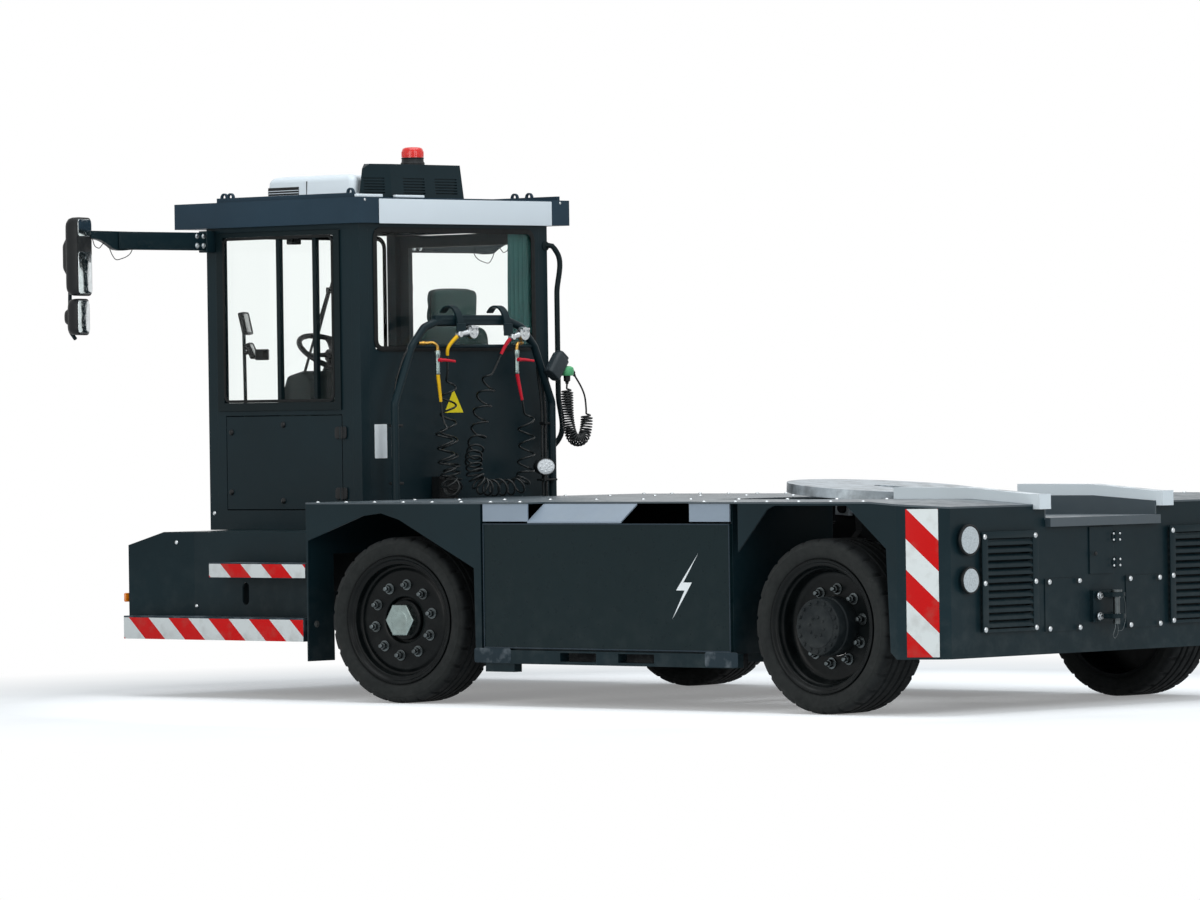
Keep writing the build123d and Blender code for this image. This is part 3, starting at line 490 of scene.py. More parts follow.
def moulded(name, colour, rough=0.5, grain=900, depth=0.10, edge=0.0012, vary=0.12):
    """Moulded plastic or rubber with a fine grain and a slightly uneven tone."""
    made = Finish(name)
    made.set(Base_Color=made.drift(6, 4, shaded(colour, 1 - vary), shaded(colour, 1 + vary)),
             Roughness=made.uneven(40, 4, rough - 0.06, rough + 0.08), Specular_IOR_Level=0.25)
    return made.relief(made.noise(grain, 2), depth, 0.0004, edge)


def glassy(name, colour, rough=0.02):
    """Clear glazing that bends light by its own thickness, with faint patches of haze."""
    made = Finish(name)
    made.set(Base_Color=linear(colour), Transmission_Weight=1.0, IOR=1.15,
             Roughness=made.band(made.noise(3, 3), 0.35, 0.7, 0.0, rough))
    return made.material


def lens(name, colour, glow=0.0, ribs=0.0, shine=0.8):
    """Lamp plastic: coloured, clear-coated, with fine prisms pressed into it."""
    made = Finish(name)
    cells = made.cells(160.0)
    made.set(Base_Color=made.mix(cells, linear(colour), shaded(colour, 0.6)),
             Roughness=made.band(cells, 0, 1, 0.08, 0.2), Coat_Weight=shine, Coat_Roughness=0.04)
    if glow:
        made.set(Emission_Color=linear(colour), Emission_Strength=glow)
    return made.relief(cells, 0.25 + ribs, 0.001)


def striped(name, first, second, period, slope, start, share, glint=0.15):
    """Retroreflective tape: slanted bars from the map in metres, (u + slope v - start) over the period,
    cut at the second colour's share; a fine honeycomb and grime lie on both colours."""
    made = Finish(name)
    u, v, _ = made.face_map()
    along = made.math("ADD", u, made.math("MULTIPLY", v, slope))
    turn = made.math("FRACT", made.math("DIVIDE", made.math("SUBTRACT", along, start), period))
    bar = made.math("LESS_THAN", turn, share)
    comb = made.cells(420.0)
    tone = made.mix(bar, linear(first), linear(second))
    grime = made.math("MULTIPLY", made.band(made.noise(12, 6), 0.5, 0.8), 0.35)
    made.set(Base_Color=made.mix(grime, tone, linear("6d6258")), Specular_IOR_Level=glint,
             Roughness=made.band(comb, 0, 1, 0.25, 0.45))
    return made.relief(comb, 0.1, 0.0004)


def tyre_rubber(name):
    """Rubber: near black tread, and sidewalls gone brownish grey in rings and streaks."""
    made = Finish(name)
    sidewall = made.add("Attribute", {"attribute_name": "sidewall"}).outputs["Fac"]
    old = made.math("MULTIPLY", sidewall, made.band(made.noise(7, 6), 0.25, 0.75, 0.35, 1.0))
    tone = made.drift(20, 5, linear("0c0f10"), linear("171a1b"))
    made.set(Base_Color=made.mix(old, tone, linear("222423")), Roughness=made.uneven(35, 4, 0.72, 0.92),
             Specular_IOR_Level=0.2)
    return made.relief(made.noise(420, 3), 0.25, 0.0008)


def woven(name, colour, second, scale=520.0):
    """Cloth: two crossed sets of threads as sine waves on the piece's map, over a slowly varying tone."""
    made = Finish(name)
    u, v, _ = made.face_map()
    threads = [made.math("SINE", made.math("MULTIPLY", one, scale * 2 * math.pi)) for one in (u, v)]
    weave = made.math("MULTIPLY", *threads)
    made.set(Base_Color=made.drift(5, 5, linear(colour), linear(second)), Sheen_Weight=0.25,
             Roughness=made.band(weave, -1, 1, 0.8, 0.95))
    return made.relief(weave, 0.2, 0.0004)


LOOKS = {}


def look(name):
    """The material of that name, made the first time it is asked for."""
    if name not in LOOKS:
        LOOKS[name] = RECIPES[name](name)
    return LOOKS[name]


RECIPES = {
    "body_paint": lambda n: painted(n, bpy.context.scene.tractor.body_colour, dust_and_sheen=0.07),
    # Deck: its pale top layer is partly dust and partly a painted reflection of the sky.
    "deck_paint": lambda n: painted(n, "39444a", rough=0.40, vary=0.10, dust_and_sheen=0.55, gloss=0.5,
                                    dust_and_sheen_colour="8d959a"),
    # Battery slopes: the light blue-grey is a painted reflection of the sky on the slanted tops.
    "slope_sky_reflection_paint": lambda n: painted(n, "7f8b97", rough=0.40, vary=0.08, dust_and_sheen=0.15, gloss=0.4),
    "dark_border": lambda n: painted(n, "26323a", rough=0.3, vary=0.08),
    "roof_paint": lambda n: painted(n, bpy.context.scene.tractor.roof_colour, rough=0.42, dust_and_sheen=0.06),
    "cover_paint": lambda n: painted(n, "0d1d20", rough=0.30, vary=0.05, dust_and_sheen=0.03),
    "chassis_paint": lambda n: painted(n, "0b0e10", rough=0.55, dust_and_sheen=0.20),
    "step_paint": lambda n: painted(n, "1f2c33", rough=0.5, dust_and_sheen=0.5, dust_and_sheen_colour="9aa2a8"),
    "rim_paint": lambda n: painted(n, "060a0b", rough=0.32, vary=0.2, dust_and_sheen=0.03, edge=0.0012, gloss=0.12),
    "hub_iron": lambda n: painted(n, "14191b", rough=0.5, vary=0.2, dust_and_sheen=0.12),
    "white_paint": lambda n: painted(n, "d3dade", rough=0.35, vary=0.03, dust_and_sheen=0.12),
    "rail_paint": lambda n: painted(n, "ccd3d6", rough=0.4, vary=0.05, dust_and_sheen=0.8, gloss=0.4,
                                    dust_and_sheen_colour="1f1d1a"),
    "plate_steel": lambda n: bare_metal(n, "a9b3ba", rough=0.40, brushed=(1, 12, 1), stain=0.55,
                                        stain_colour="3a3733"),
    "zinc": lambda n: bare_metal(n, "c4c9cc", rough=0.28),
    "nut_steel": lambda n: bare_metal(n, "5e6567", rough=0.34, stain=0.5, stain_colour="15110e"),
    "cap_steel": lambda n: bare_metal(n, "8b9a98", rough=0.30, stain=0.2, stain_colour="55504a"),
    "rod_chrome": lambda n: bare_metal(n, "d8dcde", rough=0.12, brushed=(1, 1, 8)),
    "brass": lambda n: bare_metal(n, "b28a43", rough=0.28, stain=0.3, stain_colour="4a3a22"),
    "black_plastic": lambda n: moulded(n, "0c1012", rough=0.48),
    "grey_plastic": lambda n: moulded(n, "252d31", rough=0.5),
    "cab_plastic": lambda n: moulded(n, "1b2728", rough=0.55),
    "seal_rubber": lambda n: moulded(n, "060a0b", rough=0.7, grain=500),
    "frame_black": lambda n: painted(n, "09171a", rough=0.45, dust_and_sheen=0.03),
    "hose_rubber": lambda n: moulded(n, "15191a", rough=0.30, grain=700, depth=0.06),
    "sleeve_yellow": lambda n: moulded(n, "e0ae0c", rough=0.42),
    "sleeve_red": lambda n: moulded(n, "c3142a", rough=0.42),
    "plug_green": lambda n: moulded(n, "57a873", rough=0.45),
    "sign_yellow": lambda n: moulded(n, "e8d21a", rough=0.4, depth=0.03),
    "label_white": lambda n: moulded(n, "dfe3e4", rough=0.4, depth=0.03, vary=0.04),
    "screen_glass": lambda n: moulded(n, "0c1013", rough=0.12, depth=0.01),
    "mirror_glass": lambda n: bare_metal(n, "dfe6e8", rough=0.06, edge=0.0),
    "cab_glass": lambda n: glassy(n, "fafdfc"),
    "beacon_red": lambda n: lens(n, "c81206", glow=0.30, ribs=0.2, shine=0.15),
    "lamp_amber": lambda n: lens(n, "e07a10", glow=0.1),
    "lamp_clear": lambda n: lens(n, "e6eaec", glow=0.12, ribs=0.3),
    "lamp_prism": lambda n: lens(n, "b9c1c4", ribs=0.5, shine=0.5),
    "tyre": tyre_rubber,
    "hazard_side": lambda n: striped(n, "c6cac9", "bd0606", 0.281, 1.12, 0.152, 0.50),
    "hazard_plate": lambda n: striped(n, "ccd0ce", "b80808", 0.277, 1.02, 0.255, 0.50),
    "seat_cloth": lambda n: woven(n, "16302f", "22403d", 300.0),
    "curtain_cloth": lambda n: woven(n, "1f4a4a", "2b5f5c", 420.0),
}

NODE_LOOKS = {
    "body_paint": ("nose_body", "front_fenders", "battery_boxes", "rear_body",
                   "rear_grilles", "rear_covers", "rear_door", "rear_hitch", "cab_frame", "cab_panels",
                   "cab_door", "side_hatch", "hose_rack", "grab_rail", "vent_housing", "mirrors"),
    "cover_paint": ("battery_covers",),
    "deck_paint": ("deck",),
    # Painted sky reflection on the slanted battery tops.
    "slope_sky_reflection_paint": ("battery_tops",),
    "chassis_paint": ("chassis_frame", "front_axle", "rear_axle", "knuckle_left", "knuckle_right",
                      "tie_rod", "lift_boom", "battery_packs", "lift_barrel"),
    "step_paint": ("bumper_steps",),
    "roof_paint": ("cab_roof",),
    "white_paint": ("roof_unit",),
    "rail_paint": ("guide_rails",),
    "plate_steel": ("fifth_wheel",),
    "nut_steel": ("hitch_pin",),
    "rod_chrome": ("lift_rod",),
    "black_plastic": ("cable_socket", "air_silencer"),
    "frame_black": ("window_frame",),
    "cab_plastic": ("dashboard", "steering_wheel"),
    "cab_glass": ("cab_glass", "door_glass"),
    "brass": ("air_valves",),
    "beacon_red": ("beacon",),
    "lamp_clear": ("work_lamps",),
    "lamp_prism": ("rear_lamps", "front_lamps"),
    "rim_paint": tuple(f"rim_{e}_{s}" for e in ("front", "rear") for s in ("left", "right")),
    "tyre": tuple(f"tyre_{e}_{s}" for e in ("front", "rear") for s in ("left", "right")),
    "seat_cloth": ("seat",),
    "curtain_cloth": ("curtain",),
    "hose_rubber": ("air_hose_yellow", "air_hose_red", "electric_cable"),
}


def dress_frame():
    """The finish of each frame part."""
    for name, nodes in NODE_LOOKS.items():
        for node in nodes:
            data = NODES[node].data
            data.materials.clear()
            data.materials.append(look(name))
            data.shade_smooth()
            data.set_sharp_from_angle(angle=math.radians(30))


# Wheels. A profile is a list of (radius, outward) points, measured from the wheel's middle.
TYRE_SECTION = [(0.2875, 0.117), (0.297, 0.1195), (0.3035, 0.121), (0.309, 0.129), (0.318, 0.1365),
                (0.331, 0.1408), (0.345, 0.1425), (0.356, 0.1418), (0.3595, 0.1424), (0.3625, 0.1405),
                (0.373, 0.1365), (0.3815, 0.1315), (0.3865, 0.1265), (0.3895, 0.1195), (0.3912, 0.109)]
FLANGE = [(0.2865, -0.116), (0.2865, 0.1165), (0.3008, 0.1172), (0.3015, 0.124), (0.2995, 0.1305),
          (0.2935, 0.1318), (0.2885, 0.128), (0.2845, 0.1215)]
FRONT_DISH = FLANGE + [
    (0.2800, 0.1165), (0.2745, 0.1145), (0.2700, 0.117), (0.2660, 0.1155), (0.2635, 0.109), (0.2625, 0.090),
    (0.2590, 0.080), (0.2520, 0.0745), (0.2450, 0.0755), (0.2370, 0.0825), (0.2280, 0.0855), (0.2000, 0.0858),
    (0.1300, 0.0855), (0.1130, 0.0845), (0.1085, 0.080), (0.1070, 0.070), (0.1050, 0.060), (0.0960, 0.060),
    (0.0950, 0.082), (0.0920, 0.0865), (0.0860, 0.0885), (0.0002, 0.0885)]
REAR_DISH = FLANGE + [
    (0.2780, 0.118), (0.2725, 0.119), (0.2690, 0.1155), (0.2668, 0.108), (0.2650, 0.098), (0.2585, 0.094),
    (0.2550, 0.088), (0.2535, 0.078), (0.2480, 0.056), (0.2420, 0.0450), (0.2320, 0.0395), (0.2200, 0.0380),
    (0.1500, FACE_REAR), (0.1345, FACE_REAR)]
HUB_WALL = [(0.1345, FACE_REAR), (0.1345, 0.020), (0.2850, 0.020)]
PLANET_HUB = [(0.1335, 0.037), (0.1332, 0.100), (0.1300, 0.1035), (0.1275, 0.106), (0.1270, 0.150),
              (0.1245, 0.1555), (0.1180, 0.1580), (0.0960, 0.1585), (0.0935, 0.1612), (0.0560, 0.1615),
              (0.0530, 0.1625), (0.0180, 0.1628), (0.0002, 0.1628)]


def wheel_basis(end, side, word):
    """Centre, and forward, up and outward vectors of a wheel. The front ones stand turned to the left."""
    turn = REST_STEER if end == "front" else 0.0
    out = side * np.array((-math.sin(turn), math.cos(turn), 0.0))
    return np.array(middle(f"tyre_{end}_{word}")), np.array((np.cross(out, UP), np.array(UP, float), out))


def tyre_surface(lugs, columns_per_lug=12):
    """The tyre as radius R(s) and width w(s) along its section, turned about its axis. The tread sinks by a
    smooth notch between lugs on each shoulder, and by four grooves round it."""
    flat = np.linspace(0.098, 0.0, 13)
    crown = np.column_stack((0.392 - 0.0006 * (flat / 0.1) ** 2, flat))
    half = np.concatenate((TYRE_SECTION, crown))
    radius = np.concatenate((half[:, 0], half[-2::-1, 0]))
    width = np.concatenate((half[:, 1], -half[-2::-1, 1]))
    turn = np.linspace(0, 2 * math.pi, lugs * columns_per_lug, endpoint=False)
    phase = (turn * lugs / (2 * math.pi) + 0.12 * np.sign(width)[:, None]) % 1.0
    notch = np.clip(1.6 - np.abs(phase - 0.5) * 22, 0, 1) ** 0.5
    share = np.clip((radius - 0.360) / 0.02, 0, 1) * np.clip((np.abs(width) - 0.072) / 0.01, 0, 1)
    groove = sum(np.exp(-(((width - spot) / 0.0035) ** 4)) for spot in (-0.066, -0.023, 0.023, 0.066))
    depth = 0.0085 * share[:, None] * notch + 0.011 * np.minimum(groove, 1)[:, None]
    r = radius[:, None] - depth
    points = np.stack((r * np.cos(turn), r * np.sin(turn), np.broadcast_to(width[:, None], r.shape)), -1)
    inner = np.stack((0.2868 * np.cos(turn), 0.2868 * np.sin(turn)), -1)
    closing = [np.column_stack((inner, np.full(len(turn), w))) for w in (0.110, -0.110)]
    return sheet(np.concatenate((closing[:1], points, closing[1:])), wrap_rows=True, wrap_cols=True)


def ring_of(count, radius, height, phase=0.0):
    """Evenly spaced places on a circle at one height."""
    a = np.arange(count) * 2 * math.pi / count + phase
    return np.column_stack((radius * np.cos(a), radius * np.sin(a), np.full(count, height)))


def wheel_nut(height):
    """Flange nut with its stud standing out of it."""
    stud = [(0.0108, 0.02), (0.0108, height - 0.004), (0.0085, height - 0.001), (0.0002, height)]
    return joined(hex_head(0.0365, 0.026, 1.42), turned(stud, 14))


def hub_cap(height):
    """Six-sided cap: a hexagon with a rounded rim and a faint raised disc."""
    ring = np.linspace(0, 2 * math.pi, 6, endpoint=False) + math.pi / 6
    flat = np.stack((np.cos(ring), np.sin(ring)), -1)
    levels = [(0.0, 0.0835), (height - 0.007, 0.0835), (height - 0.003, 0.0815), (height, 0.0765)]
    cap = loft([np.column_stack((flat * r, np.full(6, h))) for h, r in levels])
    disc = turned([(0.046, height - 0.001), (0.044, height + 0.001), (0.0002, height + 0.001)], 28)
    return joined(cap, disc)


def build_wheel(end, side, word, lugs):
    """One wheel: tyre, hub or cap, disc and nuts."""
    centre, basis = wheel_basis(end, side, word)
    body = f"wheel_{end}_{word}"

    def on_wheel(part, spots):
        """A part at places given in the wheel's own axes."""
        return placed(repeated(part, spots, UP), centre, basis)

    tyre = piece(f"tyre_shell_{end}_{word}", [placed(tyre_surface(lugs), centre, basis)], "tyre", 40,
                 (f"tyre_{end}_{word}",), body)
    mark_sidewall(tyre, centre, basis[2])
    if end == "rear":
        face, dish = FACE_REAR, [lathe(REAR_DISH, 72, centre, basis), lathe(HUB_WALL, 72, centre, basis)]
        hub = [lathe(PLANET_HUB, 56, centre, basis),
               on_wheel(hex_head(0.019, 0.008, 1.0), ring_of(16, 0.1105, 0.1583)),
               on_wheel(hex_head(0.014, 0.006, 1.0), ring_of(8, 0.0435, 0.1625, 0.2))]
        piece(f"planet_hub_{word}", hub, "hub_iron", body=body)
    else:
        face, dish = FACE_FRONT, [lathe(FRONT_DISH, 72, centre, basis)]
        cap = on_wheel(hub_cap(0.040), [(0, 0, 0.0865)])
        piece(f"hub_cap_{word}", [cap], "cap_steel", 30, body=body)
    piece(f"wheel_disc_{end}_{word}", dish, "rim_paint", 50, (f"rim_{end}_{word}",), body)
    nuts = on_wheel(wheel_nut(0.045), ring_of(STUD_COUNT, STUD_CIRCLE, face, math.pi / STUD_COUNT + 0.12))
    piece(f"wheel_nuts_{end}_{word}", [nuts], "nut_steel", body=body)


def mark_sidewall(tyre, centre, out):
    """An attribute from 0 on the tread to 1 on the sidewall, by distance from the axle's line."""
    mesh = tyre.data
    local = vertices_of(mesh) - centre
    side = np.abs(local @ out)
    radius = np.linalg.norm(local - np.outer(local @ out, out), axis=1)
    share = np.clip((side - 0.1185) / 0.012, 0, 1) * np.clip((0.385 - radius) / 0.012, 0, 1)
    mesh.attributes.new("sidewall", "FLOAT", "POINT").data.foreach_set("value", share.astype(np.float32))


# Body fittings
def screws(name, spots, direction, radius, height, finish="zinc", body="vehicle", kind="button"):
    """Screw heads at places from the rear axle, as one piece: domed, or six-sided with a washer."""
    head = button_head(radius, height) if kind == "button" else hex_head(radius * 2, height)
    places = [at(*spot) for spot in spots]
    piece(name, [repeated(head, places, direction)], finish, 40, body=body)


def tape(name, corner, along, rise, length, height, finish, lift=0.0008):
    """A strip of tape: a thin plate on a face, its map in metres from one corner."""
    along, rise = unit(along), unit(rise)
    out = np.cross(along, rise)
    centre = np.asarray(corner) + along * length / 2 + rise * height / 2 + out * lift / 2
    part = placed(slab(length, height, lift, 0.002, lift * 0.4), centre, (along, rise, out))
    piece(name, [part], finish, plane_uv=(corner, along, rise))


def build_tapes():
    """Red and white tape on the steps, the bumper and the rear corners."""
    for side, word in SIDES:
        face = side * SIDE_Y
        for name, x0, x1, low, high in (("bumper", 3.272, 4.522, STEP_LOW, STEP_HIGH),
                                        ("upper", 3.254, 3.915, 0.587, 0.652)):
            start = at(x1 if side > 0 else x0, face, low)
            tape(f"tape_{name}_{word}", start, (-side, 0, 0), UP, x1 - x0, high - low, "hazard_side")
        bend, corner = np.array((-0.453, side * 1.176)), np.array((-0.630, side * 1.085))
        ends = (bend, corner) if side > 0 else (corner, bend)
        run = unit(ends[1] - ends[0])
        near_gap, far_gap = (0.044, 0.008) if side > 0 else (0.008, 0.044)
        start = ends[0] + run * near_gap
        length = np.linalg.norm(ends[1] - ends[0]) - near_gap - far_gap
        tape(f"hazard_plate_{word}", at(*start, 0.262), (*run, 0), UP, length, 0.652, "hazard_plate", 0.002)
    tape("tape_front", at(4.523, -1.174, STEP_LOW), LEFT, UP, 2.348, STEP_HIGH - STEP_LOW, "hazard_side")


def frame_strip(x0, x1, z0, z1, width, y, side, thick=0.003):
    """A thin raised border round an opening on a side face."""
    bars = ((x0, x1, z0, z0 + width), (x0, x1, z1 - width, z1), (x0, x0 + width, z0 + width, z1 - width),
            (x1 - width, x1, z0 + width, z1 - width))
    parts = []
    for a, b, c, d in bars:
        bar = slab(b - a, d - c, thick, 0.002, 0.001, 2, 2)
        spot = at((a + b) / 2, side * (y + thick / 2), (c + d) / 2)
        parts.append(placed(bar, spot, (AHEAD, UP, (0, side, 0))))
    return parts


def bolt_sign(centre, height):
    """A lightning bolt outline as a thin plate, drawn over a unit square and scaled to its height."""
    outline = np.array([(0.48, 0.5), (-0.02, 0.06), (0.26, 0.06), (-0.40, -0.5), (0.02, -0.06),
                        (-0.26, -0.06)]) * (0.62 * height, height)
    return placed(prism(outline, 0, 0.0008), centre, ((-1.0, 0, 0), UP, LEFT))


def build_battery_trim():
    """Bright border, corner brackets and the plain bolt sign of the battery covers."""
    trim, brackets = [], []
    y = 1.172
    for side in (1, -1):
        trim += frame_strip(0.534, 2.076, 0.270, 0.849, 0.006, y, side)
        for x, width in ((2.020, 0.235), (0.590, 0.200)):
            plate = slab(width, 0.068, 0.004, 0.012, 0.001)
            brackets.append(placed(plate, at(x, side * (SIDE_Y - 0.001), 0.236), (AHEAD, UP, (0, side, 0))))
    piece("battery_trim", trim, "dark_border", 40)
    piece("battery_brackets", brackets, "step_paint")
    piece("bolt_sign", [bolt_sign(at(0.815, 1.172, 0.565), 0.30)], "label_white", 20)


def build_body_screws():
    """Screws of the rear wall, the nose, the fenders and the deck."""
    rear = (("grille_screws", 0.006, (0.844, 0.492), (0.785, 0.580, 0.375)),
            ("cover_screws", 0.004, (0.395, 0.182), (0.574, 0.365)))
    for name, out, ys, zs in rear:
        spots = [(REAR_X - out, side * y, z) for side in (1, -1) for y in ys for z in zs]
        screws(name, spots, BACK, 0.0125, 0.007)
    hitch = [(REAR_X - 0.020, y, z) for y in (-0.062, 0.062) for z in (0.503, 0.411)]
    screws("hitch_bolts", hitch, BACK, 0.0135, 0.014, kind="hex")
    for side, word in SIDES:
        nose = [(x, side * y, z) for x, y, z in ((4.245, 1.0785, 0.752), (4.136, 1.052, 0.441),
                                                 (3.30, 1.052, 0.765))]
        screws(f"nose_screws_{word}", nose, (0, side, 0), 0.011, 0.006)
        fender = [(3.178, side * SIDE_Y, 0.369)]
        screws(f"fender_bolts_{word}", fender, (0, side, 0), 0.012, 0.009, "chassis_paint", kind="hex")
        tops = [(x, side * y, DECK_Z) for y, first, last, step in (
            (SIDE_Y - 0.03, 1.86, 3.22, 0.19), (SIDE_Y - 0.03, -0.24, 0.76, 0.19), (0.53, 0.15, 3.2, 0.30))
            for x in np.arange(first, last, step)]
        screws(f"deck_screws_{word}", tops, UP, 0.010, 0.006)


# Rear lamps, hitch and door fittings
def lens_profile(radius, depth):
    """The shallow dome of a round lamp's lens."""
    return [(radius * 0.86 * math.cos(t), depth * 0.72 + depth * 0.28 * math.sin(t))
            for t in np.linspace(0.05, math.pi / 2 - 0.01, 8)]


def build_rear_lamps():
    """Four round lamps: a grooved bezel, a domed lens and three rings of small cells each."""
    bezels, clear, cells = [], [], []
    axes = basis_of(BACK)
    for y, z, radius in ((0.948, 0.774, 0.070), (0.945, 0.596, 0.061)):
        bezel = [(radius * k, h) for k, h in ((0.88, 0.003), (0.89, 0.0095), (0.93, 0.0115), (0.985, 0.0095),
                                              (1.0, 0.004), (1.0, 0.0))]
        for side in (1, -1):
            centre = at(REAR_X, side * y, z)
            bezels.append(lathe(bezel, 48, centre, axes))
            clear.append(lathe(lens_profile(radius, 0.013), 48, centre, axes))
            for count, ring in ((6, 0.24), (12, 0.50), (20, 0.74)):
                spots = ring_of(count, radius * ring, 0.0118 - 0.004 * ring)
                cells.append(placed(repeated(button_head(radius * 0.075, 0.003), spots, UP), centre, axes))
    piece("rear_lamp_bezels", bezels, "black_plastic", replaces=("rear_lamps",))
    piece("rear_lamp_lenses", clear, "lamp_prism", 50)
    piece("rear_lamp_cells", cells, "lamp_prism", 40)


def build_grilles(louvre_count):
    """Rear grilles: a frame, a dark plate behind it as painted shade, and rows of curved louvres that open
    downwards.
    """
    low, high, near, far, wall = 0.376, 0.777, 0.511, 0.822, REAR_X - WHEELBASE
    outline = [(0.010, 0.0160), (0.003, 0.0085), (-0.003, -0.0005), (-0.0055, -0.0085), (-0.0055, -0.0105),
               (-0.0035, -0.0105), (-0.001, -0.0005), (0.006, 0.0085), (0.013, 0.0160)]
    frames, louvres, shade_backs = [], [], []
    for side in (1, -1):
        for ys, zs in (((0.472, 0.861), (0.362, low)), ((0.472, 0.861), (high, 0.807)),
                       ((0.472, near), (low, high)), ((far, 0.861), (low, high))):
            frames.append(side_block(side, (wall - 0.006, wall), ys, zs, 0.001))
        for z in np.linspace(high - 0.020, low + 0.018, louvre_count):
            strip = prism(outline, -(far - near) / 2, (far - near) / 2)
            louvres.append(placed(strip, at(REAR_X, side * (near + far) / 2, z), (AHEAD, UP, (0, -1.0, 0))))
        # A dark plate behind the louvres: painted shade of the body's inside.
        shade_backs.append(side_block(side, (wall + 0.030, wall + 0.035), (0.472, 0.861), (0.350, 0.820)))
    piece("grille_frames", frames, "body_paint", replaces=("rear_grilles",))
    piece("grille_louvres", louvres, "body_paint", 50)
    piece("grille_shade_plates", shade_backs, "chassis_paint")


def build_pocket_shade_plates():
    """Dark plates behind the fork pockets: painted shade, so that the pockets look deep."""
    plates = [side_block(side, (-2.060, -0.620), (0.950, 0.956), (0.190, 0.300), 0.001) for side in (1, -1)]
    piece("pocket_shade_plates", plates, "chassis_paint")


def build_rear_fittings():
    """Hinge screws and latch of the small door, and the hitch pin's clip on its cord."""
    for z in (0.650, 0.766):
        still = [(REAR_X - 0.001, -0.113, z + dz) for dz in (-0.014, 0.014)]
        moving = [(REAR_X - 0.006, -0.062, z + dz) for dz in (-0.014, 0.014)]
        screws(f"door_hinge_screws_{int(z * 1000)}", still, BACK, 0.006, 0.004)
        screws(f"door_leaf_screws_{int(z * 1000)}", moving, BACK, 0.006, 0.004, body="rear_door")
    screws("rear_door_latch", [(REAR_X - 0.006, 0.070, 0.693)], BACK, 0.010, 0.007, "black_plastic",
           "rear_door")
    clip, cord_line = (smooth_line([at(*spot) for spot in route], 48) for route in (
        [(-0.745, 0.012, 0.396), (-0.752, 0.020, 0.360), (-0.748, 0.030, 0.322), (-0.744, 0.012, 0.312),
         (-0.742, -0.008, 0.330), (-0.740, -0.014, 0.365), (-0.744, 0.0, 0.388)],
        [(-0.745, -0.026, 0.524), (-0.748, -0.046, 0.500), (-0.752, -0.056, 0.440), (-0.752, -0.050, 0.380),
         (-0.748, -0.030, 0.345), (-0.744, -0.010, 0.345)]))
    piece("hitch_clip", [tube(clip, 0.0016, 8), tube(cord_line, 0.0012, 8)], "nut_steel")


# Roof
COOLER_PLAN = [(1.390, 0.060), (1.390, 0.600), (0.750, 0.600), (0.874, 0.434), (0.874, 0.060)]


def inset_outline(corners, inset, radius, steps=5):
    """A flat outline moved inwards: each corner slides along its bisector by inset over the cosine of half
    its turn, and an arc that touches both sides rounds it."""
    spots = np.asarray(corners, float)
    ahead = unit_rows(np.roll(spots, -1, axis=0) - spots)
    left = np.column_stack((-ahead[:, 1], ahead[:, 0]))
    before, left_before = np.roll(ahead, 1, axis=0), np.roll(left, 1, axis=0)
    bisector = (left + left_before) / (1 + (left * left_before).sum(1))[:, None]
    turn = np.arctan2(before[:, 0] * ahead[:, 1] - before[:, 1] * ahead[:, 0], (before * ahead).sum(1))
    side = np.sign(turn)[:, None]
    centre = spots + bisector * (inset + radius * side)
    start = np.arctan2(*(-side * left_before).T[::-1])
    angle = start[:, None] + turn[:, None] * np.linspace(0, 1, steps + 1)
    arcs = centre[:, None] + radius * np.stack((np.cos(angle), np.sin(angle)), -1)
    return arcs.reshape(-1, 2)


def moulded_shell(corners, levels, radius):
    """Skin over one plan, moved in by a little more from level to level: (height, inset)."""
    return loft([np.column_stack((inset_outline(corners, inset, radius), np.full(6 * len(corners), h)))
                 for h, inset in levels])


def build_cooler():
    """The cooler's moulded shell with its side grille and rear slots."""
    levels = [(0.0, 0.0), (0.020, 0.0), (0.024, 0.003), (0.085, 0.006), (0.100, 0.011), (0.111, 0.023),
              (0.117, 0.042), (0.118, 0.070)]
    shell = moulded_shell(COOLER_PLAN, levels, 0.030)
    shell = placed(shell, front(0, 0, ROOF_TOP_Z), np.eye(3))
    piece("cooler_shell", [shell], "white_paint", replaces=("roof_unit",))
    window = [block((1.160, 0.590, 2.428), (1.372, 0.6005, 2.480), 0.002),
              block((1.103, 0.590, 2.418), (1.107, 0.5985, 2.505), 0.001)]
    bars = [block((1.160, 0.5965, z), (1.372, 0.6020, z + 0.004), 0.001) for z in (2.437, 2.449, 2.461)]
    piece("cooler_grille", window, "black_plastic", 30)
    piece("cooler_louvres", bars, "white_paint", 30)
    vents = [block((0.8705, y, 2.448), (0.8760, y + 0.004, 2.505), 0.001)
             for y in np.arange(0.10, 0.41, 0.016)]
    piece("cooler_rear_slots", vents, "black_plastic", 30)


